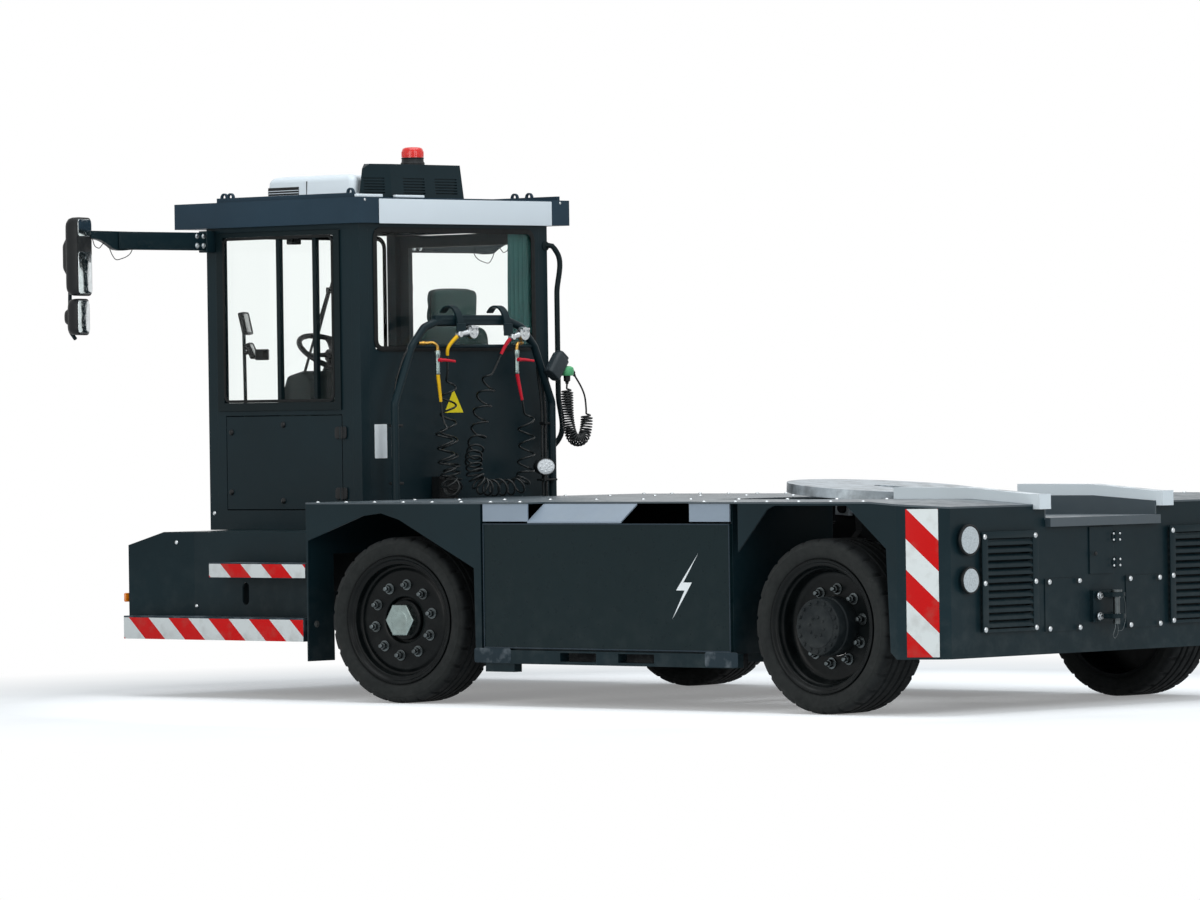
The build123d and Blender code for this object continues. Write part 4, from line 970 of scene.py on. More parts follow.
def build_roof():
    """White fascia, cooler, beacon, wiring boxes and edge screws."""
    y0, y1, z0, z1 = -0.670, 0.545, 2.288, 2.408
    band = slab(y1 - y0, z1 - z0, 0.003, 0.002, 0.001)
    piece("rear_fascia", [placed(band, at(3.3495, (y0 + y1) / 2, (z0 + z1) / 2), (LEFT, UP, BACK))],
          "white_paint")
    build_cooler()
    dome = [(0.0530, 0.0), (0.0530, 0.030), (0.0515, 0.038), (0.0470, 0.0455), (0.0370, 0.0500),
            (0.0180, 0.0518), (0.0002, 0.0520)]
    ribs = ring_of(30, 0.0528, 0.017)
    base = [(0.0590, 0.0), (0.0590, 0.010), (0.0545, 0.016), (0.0540, 0.030), (0.0560, 0.0325),
            (0.0560, 0.0360), (0.0002, 0.0360)]
    foot = front(0.785, 0.182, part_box("vent_housing")[1].z)
    glass = foot + (0, 0, 0.036)
    piece("beacon_base", [lathe(base, 44, foot, basis_of(UP))], "black_plastic")
    rib = placed(slab(0.003, 0.026, 0.003, 0.001, 0.001, 2, 2), (0, 0, 0), (LEFT, UP, AHEAD))
    domed = [lathe(dome, 48, glass, basis_of(UP)), placed(repeated(rib, ribs, UP), glass, basis_of(UP))]
    piece("beacon_lens", domed, "beacon_red", replaces=("beacon",))
    boxes = [block((0.666, 0.510, 2.4145), (0.690, 0.684, 2.430), 0.004),
             block((0.666, 0.222, 2.4145), (0.690, 0.420, 2.428), 0.004)]
    piece("roof_conduits", boxes, "white_paint")
    edge = [(3.353, y, 2.402) for y in (0.64, -0.735)]
    screws("roof_edge_screws", edge, BACK, 0.008, 0.004)


# Mirrors
def build_mirror_heads(side, word):
    """Two housings with their glasses, turned towards the driver."""
    face = np.array((-math.cos(MIRROR_TURN), -side * math.sin(MIRROR_TURN), 0))
    axes = (np.cross(UP, face), UP, face)
    shells, panes = [], []
    for y, low, high, width, depth, glasses in (
            (1.570, 1.955, 2.335, 0.175, 0.074, ((1.966, 2.168), (2.243, 2.326))),
            (1.575, 1.765, 1.942, 0.150, 0.062, ((1.775, 1.933),))):
        centre, height, half = front(MIRROR_X, side * y, (low + high) / 2), high - low, depth / 2
        housing = ((-half, 0.66, 0.84), (0.006 - half, 0.80, 0.92), (0.018 - half, 0.92, 0.97),
                   (0.036 - half, 0.98, 0.995), (half - 0.006, 1.0, 1.0), (half - 0.001, 0.985, 0.993),
                   (half, 0.96, 0.98))
        swell = ((-half - 0.030, 0.30, 0.30), (-half - 0.027, 0.38, 0.36), (-half - 0.016, 0.46, 0.44),
                 (0.010 - half, 0.60, 0.62))
        for levels, corner in ((housing, 0.034), (swell, 0.024)):
            shell = tapered([(h, width * a, height * b, corner, 0, 0) for h, a, b in levels])
            shells.append(placed(shell, centre, axes))
        for bottom, top in glasses:
            pane = slab(width * 0.88, top - bottom, 0.003, 0.020, 0.001)
            spot = front(MIRROR_X, side * y, (bottom + top) / 2) + face * (half + 0.0008)
            panes.append(placed(pane, spot, axes))
    stands_for = ("mirrors",) if side > 0 else ()
    piece(f"mirror_housings_{word}", shells, "black_plastic", 40, stands_for)
    piece(f"mirror_glasses_{word}", panes, "mirror_glass", 30)


def build_mirror_arm(side, word):
    """The arm from the cab with its gusset and bolts, the pole between the housings and the wires."""
    arm = [side_block(side, xs, ys, zs, edge) for xs, ys, zs, edge in (
        ((1.690, 1.730), (0.664, 1.220), (2.182, 2.270), 0.004),
        ((1.686, 1.744), (0.662, 0.720), (2.172, 2.278), 0.003),
        ((1.6865, 1.691), (1.182, 1.306), (2.186, 2.266), 0.002))]
    lower = smooth_line([(1.570, 2.238, 0), (1.470, 2.234, 0), (1.405, 2.222, 0), (1.360, 2.200, 0),
                         (1.330, 2.183, 0), (1.295, 2.178, 0), (1.210, 2.182, 0)], 28)[:, :2]
    outline = np.concatenate(([(1.210, 2.270), (1.570, 2.273)], lower)) * (side, 1)
    arm.append(placed(prism(outline, 1.696, 1.726), front(0, 0, 0), (LEFT, UP, AHEAD)))
    pole = smooth_front([(x, side * y, z) for x, y, z in (
        (1.708, 1.540, 2.255), (1.745, 1.541, 2.232), (1.764, 1.545, 2.150), (1.767, 1.565, 1.860),
        (1.762, 1.570, 1.790), (1.725, 1.570, 1.748))], 36)
    arm.append(tube(pole, 0.0095, 14))
    piece(f"mirror_arm_{word}", arm, "body_paint")
    wires = [[(1.348, 2.186), (1.334, 2.160), (1.308, 2.134), (1.271, 2.138), (1.208, 2.168), (1.196, 2.186)],
             [(1.462, 2.236), (1.442, 2.196), (1.416, 2.189), (1.396, 2.206), (1.380, 2.216)]]
    loops = [tube(smooth_front([(1.712, side * y, z) for y, z in wire], 24), 0.0022, 8) for wire in wires]
    piece(f"mirror_wires_{word}", loops, "hose_rubber", 40)
    bolts = [(4.380, side * y, z) for y in (0.738, 0.782) for z in (2.205, 2.252)]
    screws(f"mirror_bolts_{word}", bolts, BACK, 0.010, 0.007, kind="hex")


# Cab outside
def border(width, height, corner, band, thick):
    """A flat frame: a rounded rectangle less one smaller by the band all round."""
    outer = rounded_outline(width, height, corner + band)
    inner = rounded_outline(width - 2 * band, height - 2 * band, corner)
    rows = ((outer, 0.0), (outer, thick * 0.7), ((outer * 0.7 + inner * 0.3), thick),
            ((outer * 0.3 + inner * 0.7), thick), (inner, thick * 0.7), (inner, 0.0))
    return sheet(np.stack([np.column_stack((flat, np.full(len(flat), h))) for flat, h in rows]), True, True)


def build_cab_fittings():
    """Studs, window seals, hatch hinges and marker lamps of the cab."""
    studs = [(x, CAB_LEFT_Y, z) for x, z in ((4.280, 1.283), (3.915, 1.318), (4.284, 0.989), (3.920, 0.946))]
    screws("hatch_studs", studs, LEFT, 0.015, 0.012, "black_plastic", "hatch")
    screws("cab_corner_bolts", [(4.41, CAB_LEFT_Y, 0.885)], LEFT, 0.011, 0.006)
    rear_seal = placed(border(1.136, 0.604, 0.030, 0.026, 0.006), at(CAB_REAR_X, 0, 1.969), (LEFT, UP, BACK))
    piece("rear_window_seal", [rear_seal], "seal_rubber", 40)
    seals = [placed(border(0.772, 0.812, 0.024, 0.014, 0.004), at(3.935, CAB_LEFT_Y + 0.006, 1.834),
                    (AHEAD, UP, LEFT)),
             placed(border(1.180, 0.900, 0.04, 0.024, 0.005), at(4.4345, 0, 1.815), (LEFT, UP, AHEAD))]
    piece("window_seals", seals, "seal_rubber", 40)
    for z in (1.276, 0.981):
        leaf, wing = (placed(slab(width, 0.060, 0.009, corner, 0.004), at(x, CAB_LEFT_Y + 0.0055, z),
                             (AHEAD, UP, LEFT)) for width, corner, x in ((0.030, 0.014, 3.488),
                                                                         (0.040, 0.018, 3.533)))
        pin = tube([at(3.506, CAB_LEFT_Y + 0.007, z + end) for end in (-0.029, 0.029)], 0.0085, 16)
        piece(f"hinge_leaf_{int(z * 1000)}", [leaf, pin], "black_plastic")
        piece(f"hinge_moving_{int(z * 1000)}", [wing], "black_plastic", body="hatch")
    for side, word in SIDES:
        marker = side_block(side, (1.826, 1.8395), (1.108, 1.170), (0.462, 0.506), 0.006)
        piece(f"marker_lamp_{word}", [marker], "lamp_amber", 40)


def build_wiper():
    """Wiper on the windscreen: its arm, blade, cap and clip."""
    arm = smooth_front([(1.762, 0.052, 1.350), (1.776, 0.020, 1.430), (1.778, -0.080, 1.690),
                        (1.772, -0.200, 1.990)], 24)
    blade = smooth_front([(1.757, -0.085, 1.700), (1.758, -0.200, 1.990), (1.757, -0.300, 2.235)], 20)
    cap = [(0.022, 0.0), (0.022, 0.020), (0.015, 0.028), (0.0002, 0.029)]
    parts = [tube(arm, np.linspace(0.009, 0.005, 24), 10), tube(blade, 0.0065, 8),
             lathe(cap, 20, front(1.748, 0.052, 1.350), basis_of(AHEAD)),
             block((1.757, -0.215, 1.975), (1.776, -0.187, 2.005), 0.004)]
    piece("wiper", parts, "black_plastic", 40)


def build_front_lamps():
    """Two round lamps on each side of the bumper, with their rims."""
    lamps, rims = [], []
    for y, radius in ((0.930, 0.062), (0.790, 0.040)):
        rim = [(radius * k, h) for k, h in ((0.86, 0.0), (0.88, 0.010), (0.97, 0.011), (1.02, 0.004),
                                            (1.02, -0.012))]
        for side in (1, -1):
            centre = front(1.822, side * y, 0.590)
            lamps.append(lathe(lens_profile(radius, 0.014), 40, centre, basis_of(AHEAD)))
            rims.append(lathe(rim, 40, centre, basis_of(AHEAD)))
    piece("front_lamp_lenses", lamps, "lamp_clear", 50)
    piece("front_lamp_rims", rims, "black_plastic", 40)


def build_grab_rail():
    """Bent rail beside the rear window, on two round feet."""
    route = [(0.690, -0.652, 2.188), (0.664, -0.668, 2.190), (0.650, -0.690, 2.160), (0.650, -0.690, 1.950),
             (0.650, -0.690, 1.450), (0.650, -0.690, 1.228), (0.664, -0.668, 1.198), (0.690, -0.652, 1.200)]
    foot = [(0.024, 0.0), (0.024, 0.004), (0.016, 0.006), (0.0002, 0.006)]
    feet = [lathe(foot, 24, front(0.685, -0.648, z), basis_of(BACK)) for z in (2.188, 1.200)]
    piece("grab_tube", [tube(smooth_front(route, 60), 0.0135, 16), *feet], "frame_black", 40,
          ("grab_rail",))


def build_signs():
    """Blank sign plates on the cab's rear wall."""
    tri = prism(np.array([(0.0, 0.062), (-0.066, -0.052), (0.066, -0.052)]), 0, 0.001)
    piece("sign_triangle", [placed(tri, at(CAB_REAR_X, 0.02, 1.418), (LEFT, UP, BACK))],
          "sign_yellow", 20)
    plate = slab(0.085, 0.165, 0.001, 0.004, 0.0003)
    piece("sign_label", [placed(plate, at(CAB_REAR_X - 0.0005, 0.530, 1.232), (LEFT, UP, BACK))],
          "label_white", 20)


# Cab inside
def pad(width, depth, thick, crown, grooves=(), boxy=0.32, size=(56, 120)):
    """A stuffed form: a boxy ellipsoid, x and y as cos^e v times cos^e u and sin^e u, z as sin^e v, its top
    raised by crown (1 - x^2)(1 - y^2) and pressed in by a bell-shaped furrow along each sewn channel."""
    v = np.linspace(-math.pi / 2, math.pi / 2, size[0])[1:-1, None]
    u = np.linspace(0, 2 * math.pi, size[1], endpoint=False)[None, :]
    x, y, z = (np.sign(w) * np.abs(w)**boxy * np.ones_like(u * v)
               for w in (np.cos(u) * np.ones_like(v), np.sin(u) * np.ones_like(v), np.sin(v)))
    flat = np.cos(v)**boxy
    x, y = x * flat, y * flat
    top = np.clip(z, 0, 1)
    lift = crown * (1 - x**2) * (1 - y**2) * top
    for place, along in grooves:
        lift = lift - 0.009 * top * np.exp(-(((x if along == "x" else y) - place) / 0.035)**2)
    pinch = 1 - 0.018 * np.cos(2 * u) ** 2 * (1 - np.abs(z))
    rows = np.stack((x * width / 2 * pinch, y * depth / 2 * pinch, z * thick / 2 + lift), -1)
    return loft(rows)


def piping(width, depth, height, boxy=0.32, radius=0.0035):
    """Welt round a pad: a tube along its boxy outline at one height."""
    u = np.linspace(0, 2 * math.pi, 120, endpoint=False)
    flat = [np.sign(w) * np.abs(w)**boxy for w in (np.cos(u), np.sin(u))]
    line = np.column_stack((flat[0] * width / 2, flat[1] * depth / 2, np.full(len(u), height)))
    a = np.linspace(0, 2 * math.pi, 8, endpoint=False)
    out = unit_rows(line * (1, 1, 0))
    ring = line[:, None] + radius * (np.cos(a)[None, :, None] * out[:, None]
                                     + np.sin(a)[None, :, None] * np.array(UP, float))
    return sheet(ring, True, True)


def build_seat():
    """Driver's seat: sprung base with its bellows, cushion, back and headrest."""
    y = -0.070
    base = [block((0.830, y - 0.170, 0.833), (1.210, y + 0.170, 0.880), 0.008),
            block((0.850, y - 0.160, 1.130), (1.200, y + 0.160, 1.182), 0.008)]
    folds = [(h, 0.300 - 0.018 * (k % 2), 0.330 - 0.018 * (k % 2), 0.04, 0, 0)
             for k, h in enumerate(np.linspace(0.0, 0.250, 13))]
    base.append(placed(tapered(folds), front(1.020, y, 0.880), (LEFT, AHEAD, UP)))
    piece("seat_base", base, "black_plastic", 35, ("seat",))
    lean = unit((-0.030, 0, 0.480))
    back_axes = (LEFT, lean, np.cross(LEFT, lean))
    pads = (("seat_cushion", pad(0.470, 0.470, 0.115, 0.020, ((0.42, "x"), (-0.42, "x"), (0.30, "y"))),
             piping(0.470, 0.470, 0.0), (1.030, y, 1.243), (LEFT, AHEAD, UP)),
            ("seat_back",
             pad(0.470, 0.490, 0.095, 0.016, ((0.45, "x"), (-0.45, "x"), (-0.10, "y"), (0.5, "y"))),
             piping(0.470, 0.490, 0.0), (0.795, y, 1.550), back_axes),
            ("seat_head", pad(0.300, 0.175, 0.075, 0.010, ((0.0, "y"),)), piping(0.300, 0.175, 0.0),
             (0.778, y, 1.886), back_axes))
    for name, body, welt, spot, axes in pads:
        stuffed = piece(name, [placed(body, front(*spot), axes)], "seat_cloth", 60)
        piece(name + "_welt", [placed(welt, front(*spot), axes)], "black_plastic", 60)


def build_curtain(folds):
    """Gathered curtain: x waves in even folds that soften and drift towards the hem."""
    s = np.linspace(0, 1, 145)[None, :]
    t = np.linspace(0, 1, 40)[:, None]
    top, foot = 2.262, 1.664
    wave = 2 * math.pi * folds * (s + 0.012 * np.sin(7 * s + 2.5 * t) * t)
    deep = 0.0105 + 0.0030 * t * np.sin(5 * s + 1.0)
    x = 0.712 + deep * np.sin(wave) + 0.002 * t * np.cos(3 * wave)
    y = -0.585 + 0.180 * s + 0.004 * t * np.sin(9 * s) + 0.0035 * np.sin(2 * wave)
    z = foot + (top - foot) * (1 - t) + 0 * s
    rows = np.stack((x + FRONT_AXLE_X, y, z), -1)
    cloth = piece("curtain_cloth", [sheet(rows)], "curtain_cloth", 60, ("curtain",))
    wall = cloth.modifiers.new("Cloth thickness", "SOLIDIFY")
    wall.thickness = 0.0012
    track = tube([front(0.712, y, 2.2605) for y in (-0.594, 0.594)], 0.004, 10)
    piece("curtain_track", [track], "grey_plastic")


def build_controls():
    """Steering wheel, the two screens and small things on the stalk and the sill."""
    lean = math.radians(30)
    hub = front(1.515, 0.010, 1.665)
    axes = ((math.cos(lean), 0, math.sin(lean)), LEFT, (-math.sin(lean), 0, math.cos(lean)))
    a = np.linspace(0, 2 * math.pi, 72, endpoint=False)
    b = np.linspace(0, 2 * math.pi, 16, endpoint=False)
    grip = 0.0135 + 0.0012 * np.cos(24 * a)[:, None] * (np.cos(b) < 0)[None, :]
    reach = 0.190 + grip * np.cos(b)[None, :]
    ring = np.stack((reach * np.cos(a)[:, None], reach * np.sin(a)[:, None],
                     np.broadcast_to(grip * np.sin(b)[None, :], reach.shape)), -1)
    parts = [placed(sheet(ring, True, True), hub, axes)]
    for turn in (90, 210, 330):
        way = np.array((math.cos(math.radians(turn)), math.sin(math.radians(turn)), 0.0))
        spoke = tapered([(r, w, d, 0.005, 0, 0) for r, w, d in ((0.020, 0.050, 0.016), (0.070, 0.034, 0.012),
                                                              (0.140, 0.026, 0.011), (0.186, 0.034, 0.014))])
        spoke = placed(spoke, (0, 0, -0.004), (np.cross(UP, way), UP, way))
        parts.append(placed(spoke, hub, axes))
    cover = [(0.0002, -0.039), (0.040, -0.039), (0.046, -0.020), (0.050, -0.004), (0.046, 0.004),
             (0.030, 0.007), (0.0002, 0.008)]
    parts.append(lathe(cover, 32, hub, axes))
    piece("steering_grip", parts, "black_plastic", 45, ("steering_wheel",), "steering_wheel")
    build_dashboard(hub, np.array(axes[2]))
    build_screens()


def build_dashboard(hub, column):
    """Shelf, console, steering column and the stalk of the screens."""
    console = [(1.460, 1.310), (1.700, 1.310), (1.700, 1.400), (1.630, 1.560), (1.520, 1.585), (1.468, 1.540)]
    hood = moulded_shell(console, [(-0.220, 0.020), (-0.214, 0.006), (-0.200, 0.0), (0.220, 0.0),
                                   (0.234, 0.006), (0.240, 0.020)], 0.022)
    parts = [block((1.460, -0.590, 1.120), (1.700, 0.590, 1.320), 0.022),
             placed(hood, front(0, 0, 0), (AHEAD, UP, LEFT)),
             block((1.510, -0.160, 0.834), (1.690, 0.140, 1.130), 0.015),
             tube(np.linspace(hub - 0.250 * column, hub - 0.036 * column, 8),
                  np.linspace(0.036, 0.027, 8), 20),
             tube(smooth_front([(1.652, 0.500, 1.312), (1.655, 0.500, 1.560), (1.660, 0.500, 1.845)], 16),
                  0.009, 12)]
    piece("dash_console", parts, "cab_plastic", 40, ("dashboard",))


def build_screens():
    """Two screens turned towards the driver, a vent, a small box at the roof and a clip on the sill."""
    cases, glasses = [], []
    for x, z, tilt, width, height in ((1.648, 1.820, 12, 0.175, 0.112), (1.606, 1.684, 24, 0.130, 0.080)):
        t, turn = math.radians(tilt), math.radians(36)
        face = np.array((-math.cos(turn) * math.cos(t), -math.sin(turn) * math.cos(t), math.sin(t)))
        level = unit(np.cross(UP, face))
        axes = (level, np.cross(face, level), face)
        spot = front(x, 0.500, z)
        cases += [placed(slab(width, height, 0.024, 0.010, 0.005), spot, axes),
                  placed(border(width, height, 0.008, 0.009, 0.004), spot + face * 0.0115, axes),
                  tube(np.linspace(spot - face * 0.008, front(1.655, 0.500, z - 0.01), 4), 0.010, 12)]
        glass = slab(width - 0.018, height - 0.018, 0.003, 0.006, 0.001)
        glasses.append(placed(glass, spot + face * 0.0125, axes))
    cases += [block((1.504, 0.478, 1.638), (1.560, 0.522, 1.692), 0.004),
              block((1.560, 0.494, 1.655), (1.605, 0.506, 1.667), 0.003),
              block((1.680, 0.070, 2.216), (1.730, 0.130, 2.262), 0.006)]
    cases += [block((1.502, 0.4765, 1.642 + 0.006 * k), (1.5045, 0.5235, 1.644 + 0.006 * k), 0.0008)
              for k in range(8)]
    piece("cab_boxes", cases, "black_plastic")
    piece("screens", glasses, "screen_glass")
    clip = block((1.560, 0.606, 1.430), (1.604, 0.624, 1.440), 0.003)
    piece("sill_clip", [clip], "sleeve_red")


# Hoses and the cable, with the routes of their coils' middle lines from the front axle
YELLOW_ROUTE = [(0.505, 0.294, 1.420), (0.505, 0.277, 1.300), (0.500, 0.265, 1.130), (0.495, 0.250, 0.998),
                (0.560, 0.150, 0.998), (0.572, 0.165, 1.130), (0.570, 0.177, 1.285), (0.572, 0.178, 1.440),
                (0.548, 0.200, 1.645)]
RED_ROUTE = [(0.505, -0.277, 1.424), (0.505, -0.306, 1.315), (0.500, -0.300, 1.200), (0.500, -0.285, 0.998),
             (0.490, -0.095, 0.996), (0.460, 0.085, 0.998), (0.488, 0.100, 1.120), (0.555, -0.008, 1.224),
             (0.566, -0.048, 1.360), (0.572, -0.105, 1.510), (0.548, -0.178, 1.650)]
CABLE_ROUTE = [(0.510, -0.606, 1.500), (0.510, -0.606, 1.410), (0.512, -0.611, 1.310),
               (0.510, -0.640, 1.220), (0.510, -0.718, 1.220), (0.510, -0.746, 1.295),
               (0.510, -0.742, 1.385), (0.513, -0.736, 1.465), (0.515, -0.668, 1.540)]


def smooth_curve(name, points, radius=0.0, resolution=3):
    """A NURBS spline of order 3 with the points as its control points, round where a radius is given."""
    data = bpy.data.curves.new(name, "CURVE")
    data.dimensions = "3D"
    spline = data.splines.new("NURBS")
    spline.points.add(len(points) - 1)
    spline.points.foreach_set("co", np.column_stack((points, np.ones(len(points)))).ravel())
    spline.order_u = 3
    spline.use_endpoint_u = True
    data.resolution_u = resolution
    data.bevel_depth = radius
    data.bevel_resolution = 2
    data.use_fill_caps = True
    return data


def route_line(name, route):
    """The points of a route's own smooth line, as Blender draws it with no thickness."""
    guide = bpy.data.objects.new(name, smooth_curve(name, [front(*spot) for spot in route], 0.0, 24))
    mesh = bpy.data.meshes.new_from_object(guide)
    spots = vertices_of(mesh).astype(float)
    bpy.data.meshes.remove(mesh)
    bpy.data.objects.remove(guide)
    return spots


def curly(line, coil_r, pitches, plain, grow=0.05, waver=0.0, phase=0.0):
    """A coil round a line: c(s) + R(s) (cos a u + sin a v). The angle a gains one turn for each pitch, R
    rises smoothly from 0 past the plain ends, and waver makes the turns differ in size."""
    run = run_along(line)
    s = np.linspace(0, run[-1], 4000)
    centre = np.stack([np.interp(s, run, line[:, k]) for k in range(3)], -1)
    along = unit_rows(np.gradient(centre, axis=0))
    across = unit_rows(np.array(AHEAD, float) - along * along[:, :1])
    square = np.cross(along, across)
    share = s / run[-1]
    inside = np.clip(np.minimum((s - plain[0]) / grow, (run[-1] - plain[1] - s) / grow), 0, 1)
    inside = inside**2 * (3 - 2 * inside)
    pitch = np.interp(share, *np.array(pitches).T)
    rate = 2 * math.pi / pitch * inside
    angle = np.concatenate(([0], np.cumsum((rate[1:] + rate[:-1]) / 2 * np.diff(s)))) + phase
    radius = coil_r * inside * (1 - waver + waver * np.sin(angle * 0.37 + 5 * share))
    helix = centre + radius[:, None] * (np.cos(angle)[:, None] * across + np.sin(angle)[:, None] * square)
    need = np.hypot(rate * PER_TURN / (2 * math.pi), 1 / 0.04)
    steps = np.concatenate(([0], np.cumsum((need[1:] + need[:-1]) / 2 * np.diff(s))))
    picks = np.interp(np.linspace(0, steps[-1], int(steps[-1]) + 2), steps, np.arange(len(s)))
    return np.stack([np.interp(picks, np.arange(len(s)), helix[:, k]) for k in range(3)], -1)


def curly_cord(name, route, coil_r, radius, pitches, plain, length, far_end, pieces, **shape):
    """A coiled hose or cable round its route, from the route's first point. The given length and far end are
    not used.
    """
    points = curly(route_line(name + "_route", route), coil_r, pitches, plain, **shape)
    coil = smooth_curve(name + "_coil", points, radius)
    made = settle(name + "_coil", coil, "hose_rubber", (name,))


def beyond(route, reach):
    """The point in line with a route's first run, ahead of its start."""
    first, second = front(*route[0]), front(*route[1])
    return first + unit(first - second) * reach


def ball_valve(route, side):
    """Elbow, ribbed body, lever and sleeve of one air line, from the sleeve's foot up."""
    foot, start = beyond(route, 0.137), front(*route[0])
    x, y, z = foot
    body = [(0.0002, 0.0), (0.0105, 0.0), (0.0125, 0.004), (0.0125, 0.012), (0.0105, 0.014)]
    body += [(0.0105 + 0.0015 * (k % 2), 0.016 + 0.006 * k) for k in range(12)]
    body += [(0.0125, 0.090), (0.0140, 0.094), (0.0140, 0.112), (0.0120, 0.116), (0.0095, 0.118),
             (0.0002, 0.118)]
    metal = [lathe(body, 20, (x, y, z - 0.004), basis_of(UP))]
    elbow = smooth_line([(x, y, 1.664), (x, y + side * 0.003, 1.690), (x + 0.006, y + side * 0.016, 1.703),
                         (x + 0.028, y + side * 0.05, 1.704), (x + 0.042, y + side * 0.085, 1.704)], 24)
    fitting = [tube(elbow, 0.0085, 14),
               placed(hex_head(0.024, 0.014, 1.0), (x, y, 1.656), basis_of(UP)),
               placed(hex_head(0.022, 0.012, 1.0), elbow[-6], basis_of(elbow[-1] - elbow[-6]))]
    arm = smooth_line([(x - 0.024, y + 0.012, 1.622), (x - 0.026, y - 0.03, 1.621),
                       (x - 0.026, y - 0.095, 1.615)], 16)
    boss = [(0.0002, 0.03), (0.009, 0.03), (0.010, 0.024), (0.0075, 0.0), (0.0002, 0.0)]
    lever = [tube(arm, np.linspace(0.0085, 0.0060, 16), 10), lathe(boss, 16, (x, y, 1.622), basis_of(BACK))]
    line = np.linspace(foot + (0, 0, 0.004), start, 12)
    sleeve = [tube(line, np.linspace(0.0095, 0.0072, 12), 16)]
    return metal, fitting, lever, sleeve


def gland_hand(route, neck, head):
    """Round coupling head with its ribbed disc, neck and clamp, and the sleeve that leads to the hose."""
    start, mid = front(*route[-1]), beyond(route[::-1], 0.024)
    x = FRONT_AXLE_X + RACK_X - 0.043
    disc = [(0.0002, 0.018), (0.012, 0.018), (0.014, 0.014), (0.024, 0.014), (0.026, 0.018), (0.032, 0.017),
            (0.034, 0.012), (0.034, -0.010), (0.030, -0.015), (0.0002, -0.016)]
    collar = [(0.0002, 0.015), (0.013, 0.015), (0.016, 0.010), (0.016, -0.012), (0.0002, -0.014)]
    metal = [lathe(disc, 28, (x, *head), basis_of(BACK)),
             tube(np.linspace((x, *head), (x, *neck), 8), np.linspace(0.017, 0.012, 8), 14),
             lathe(collar, 20, (x, *neck), basis_of(BACK)),
             placed(slab(0.048, 0.012, 0.020, 0.003, 0.002), (x - 0.018, head[0], head[1] + 0.022),
                    (LEFT, UP, BACK))]
    line = smooth_line([(x, *neck), (x + 0.008, neck[0] + (mid[1] - neck[0]) * 0.35,
                                     neck[1] + (mid[2] - neck[1]) * 0.25), mid, start], 20)
    sleeve = [tube(line, np.linspace(0.0105, 0.0078, 20), 16)]
    return metal, sleeve


def build_rack_top():
    """Beam between the rack's legs, the hooked ears that the couplings park on, and the supply pipes."""
    hook = smooth_line([(0.652, 1.858, 0), (0.628, 1.882, 0), (0.592, 1.890, 0), (0.556, 1.872, 0),
                        (0.532, 1.828, 0), (0.523, 1.764, 0)], 24)[:, :2]
    slope = unit_rows(np.gradient(hook, axis=0))
    inner = hook + 0.013 * np.column_stack((-slope[:, 1], slope[:, 0])) * np.linspace(0.6, 1, 24)[:, None]
    band = np.concatenate((hook, inner[::-1]))
    parts = [block((0.548, -0.215, 1.792), (0.582, 0.275, 1.842), 0.006)]
    for y in (0.125, -0.205):
        parts += [placed(prism(band, y - 0.021, y + 0.021), front(0, 0, 0), (AHEAD, UP, LEFT)),
                  block((0.5215, y - 0.032, 1.740), (0.5255, y + 0.032, 1.800), 0.002)]
    piece("rack_beam", parts, "body_paint")
    lines, clips = [], []
    for side in (1, -1):
        for shift in (0.0, 0.022) if side < 0 else (0.0,):
            route = [(0.556, 0.405, 1.704), (0.562, 0.436, 1.690), (0.588, 0.500 - shift, 1.560),
                     (0.594, 0.530 - shift, 1.400), (0.594, 0.532 - shift, 1.150),
                     (0.590, 0.534 - shift, 0.905)]
            lines.append(tube(smooth_front([(x, side * y, z) for x, y, z in route]), 0.0065, 10))
        clips += [side_block(side, (0.560, 0.603), (0.500, 0.560), (z, z + 0.014)) for z in (1.300, 1.020)]
    piece("supply_pipes", lines, "hose_rubber", 40)
    piece("pipe_clips", clips, "black_plastic")


def build_work_lamp():
    """Oval lamp: drawn round, then squeezed upwards, with its shell, rim, lens and cells."""
    centre = front(0.512, -0.444, 1.094)
    axes = np.array((LEFT, (0, 0, 0.60), BACK))
    shell = [(0.0690, 0.004), (0.0695, -0.006), (0.0640, -0.022), (0.0480, -0.032), (0.0002, -0.036)]
    rim = [(0.0640, 0.002), (0.0650, 0.0085), (0.0690, 0.0090), (0.0710, 0.004), (0.0705, -0.006)]
    dark = [lathe(profile, 48, centre, axes) for profile in (shell, rim)]
    dark += [block((0.512, -0.450, 1.020), (0.530, -0.438, 1.056), 0.003),
             block((0.520, -0.540, 1.024), (0.560, -0.430, 1.034), 0.003)]
    piece("work_lamp_shell", dark, "black_plastic", 40, ("work_lamps",))
    glass = turned([(0.0645, 0.003), (0.0580, 0.0060), (0.0400, 0.0080), (0.0002, 0.0088)], 48)
    piece("work_lamp_lens", [placed(glass, centre, axes)], "lamp_clear", 50)
    cells = repeated(button_head(0.0072, 0.004), np.concatenate((ring_of(9, 0.041, 0.0070),
                                                                 ring_of(4, 0.017, 0.0080))), UP)
    piece("work_lamp_cells", [placed(cells, centre, axes)], "lamp_clear", 50)


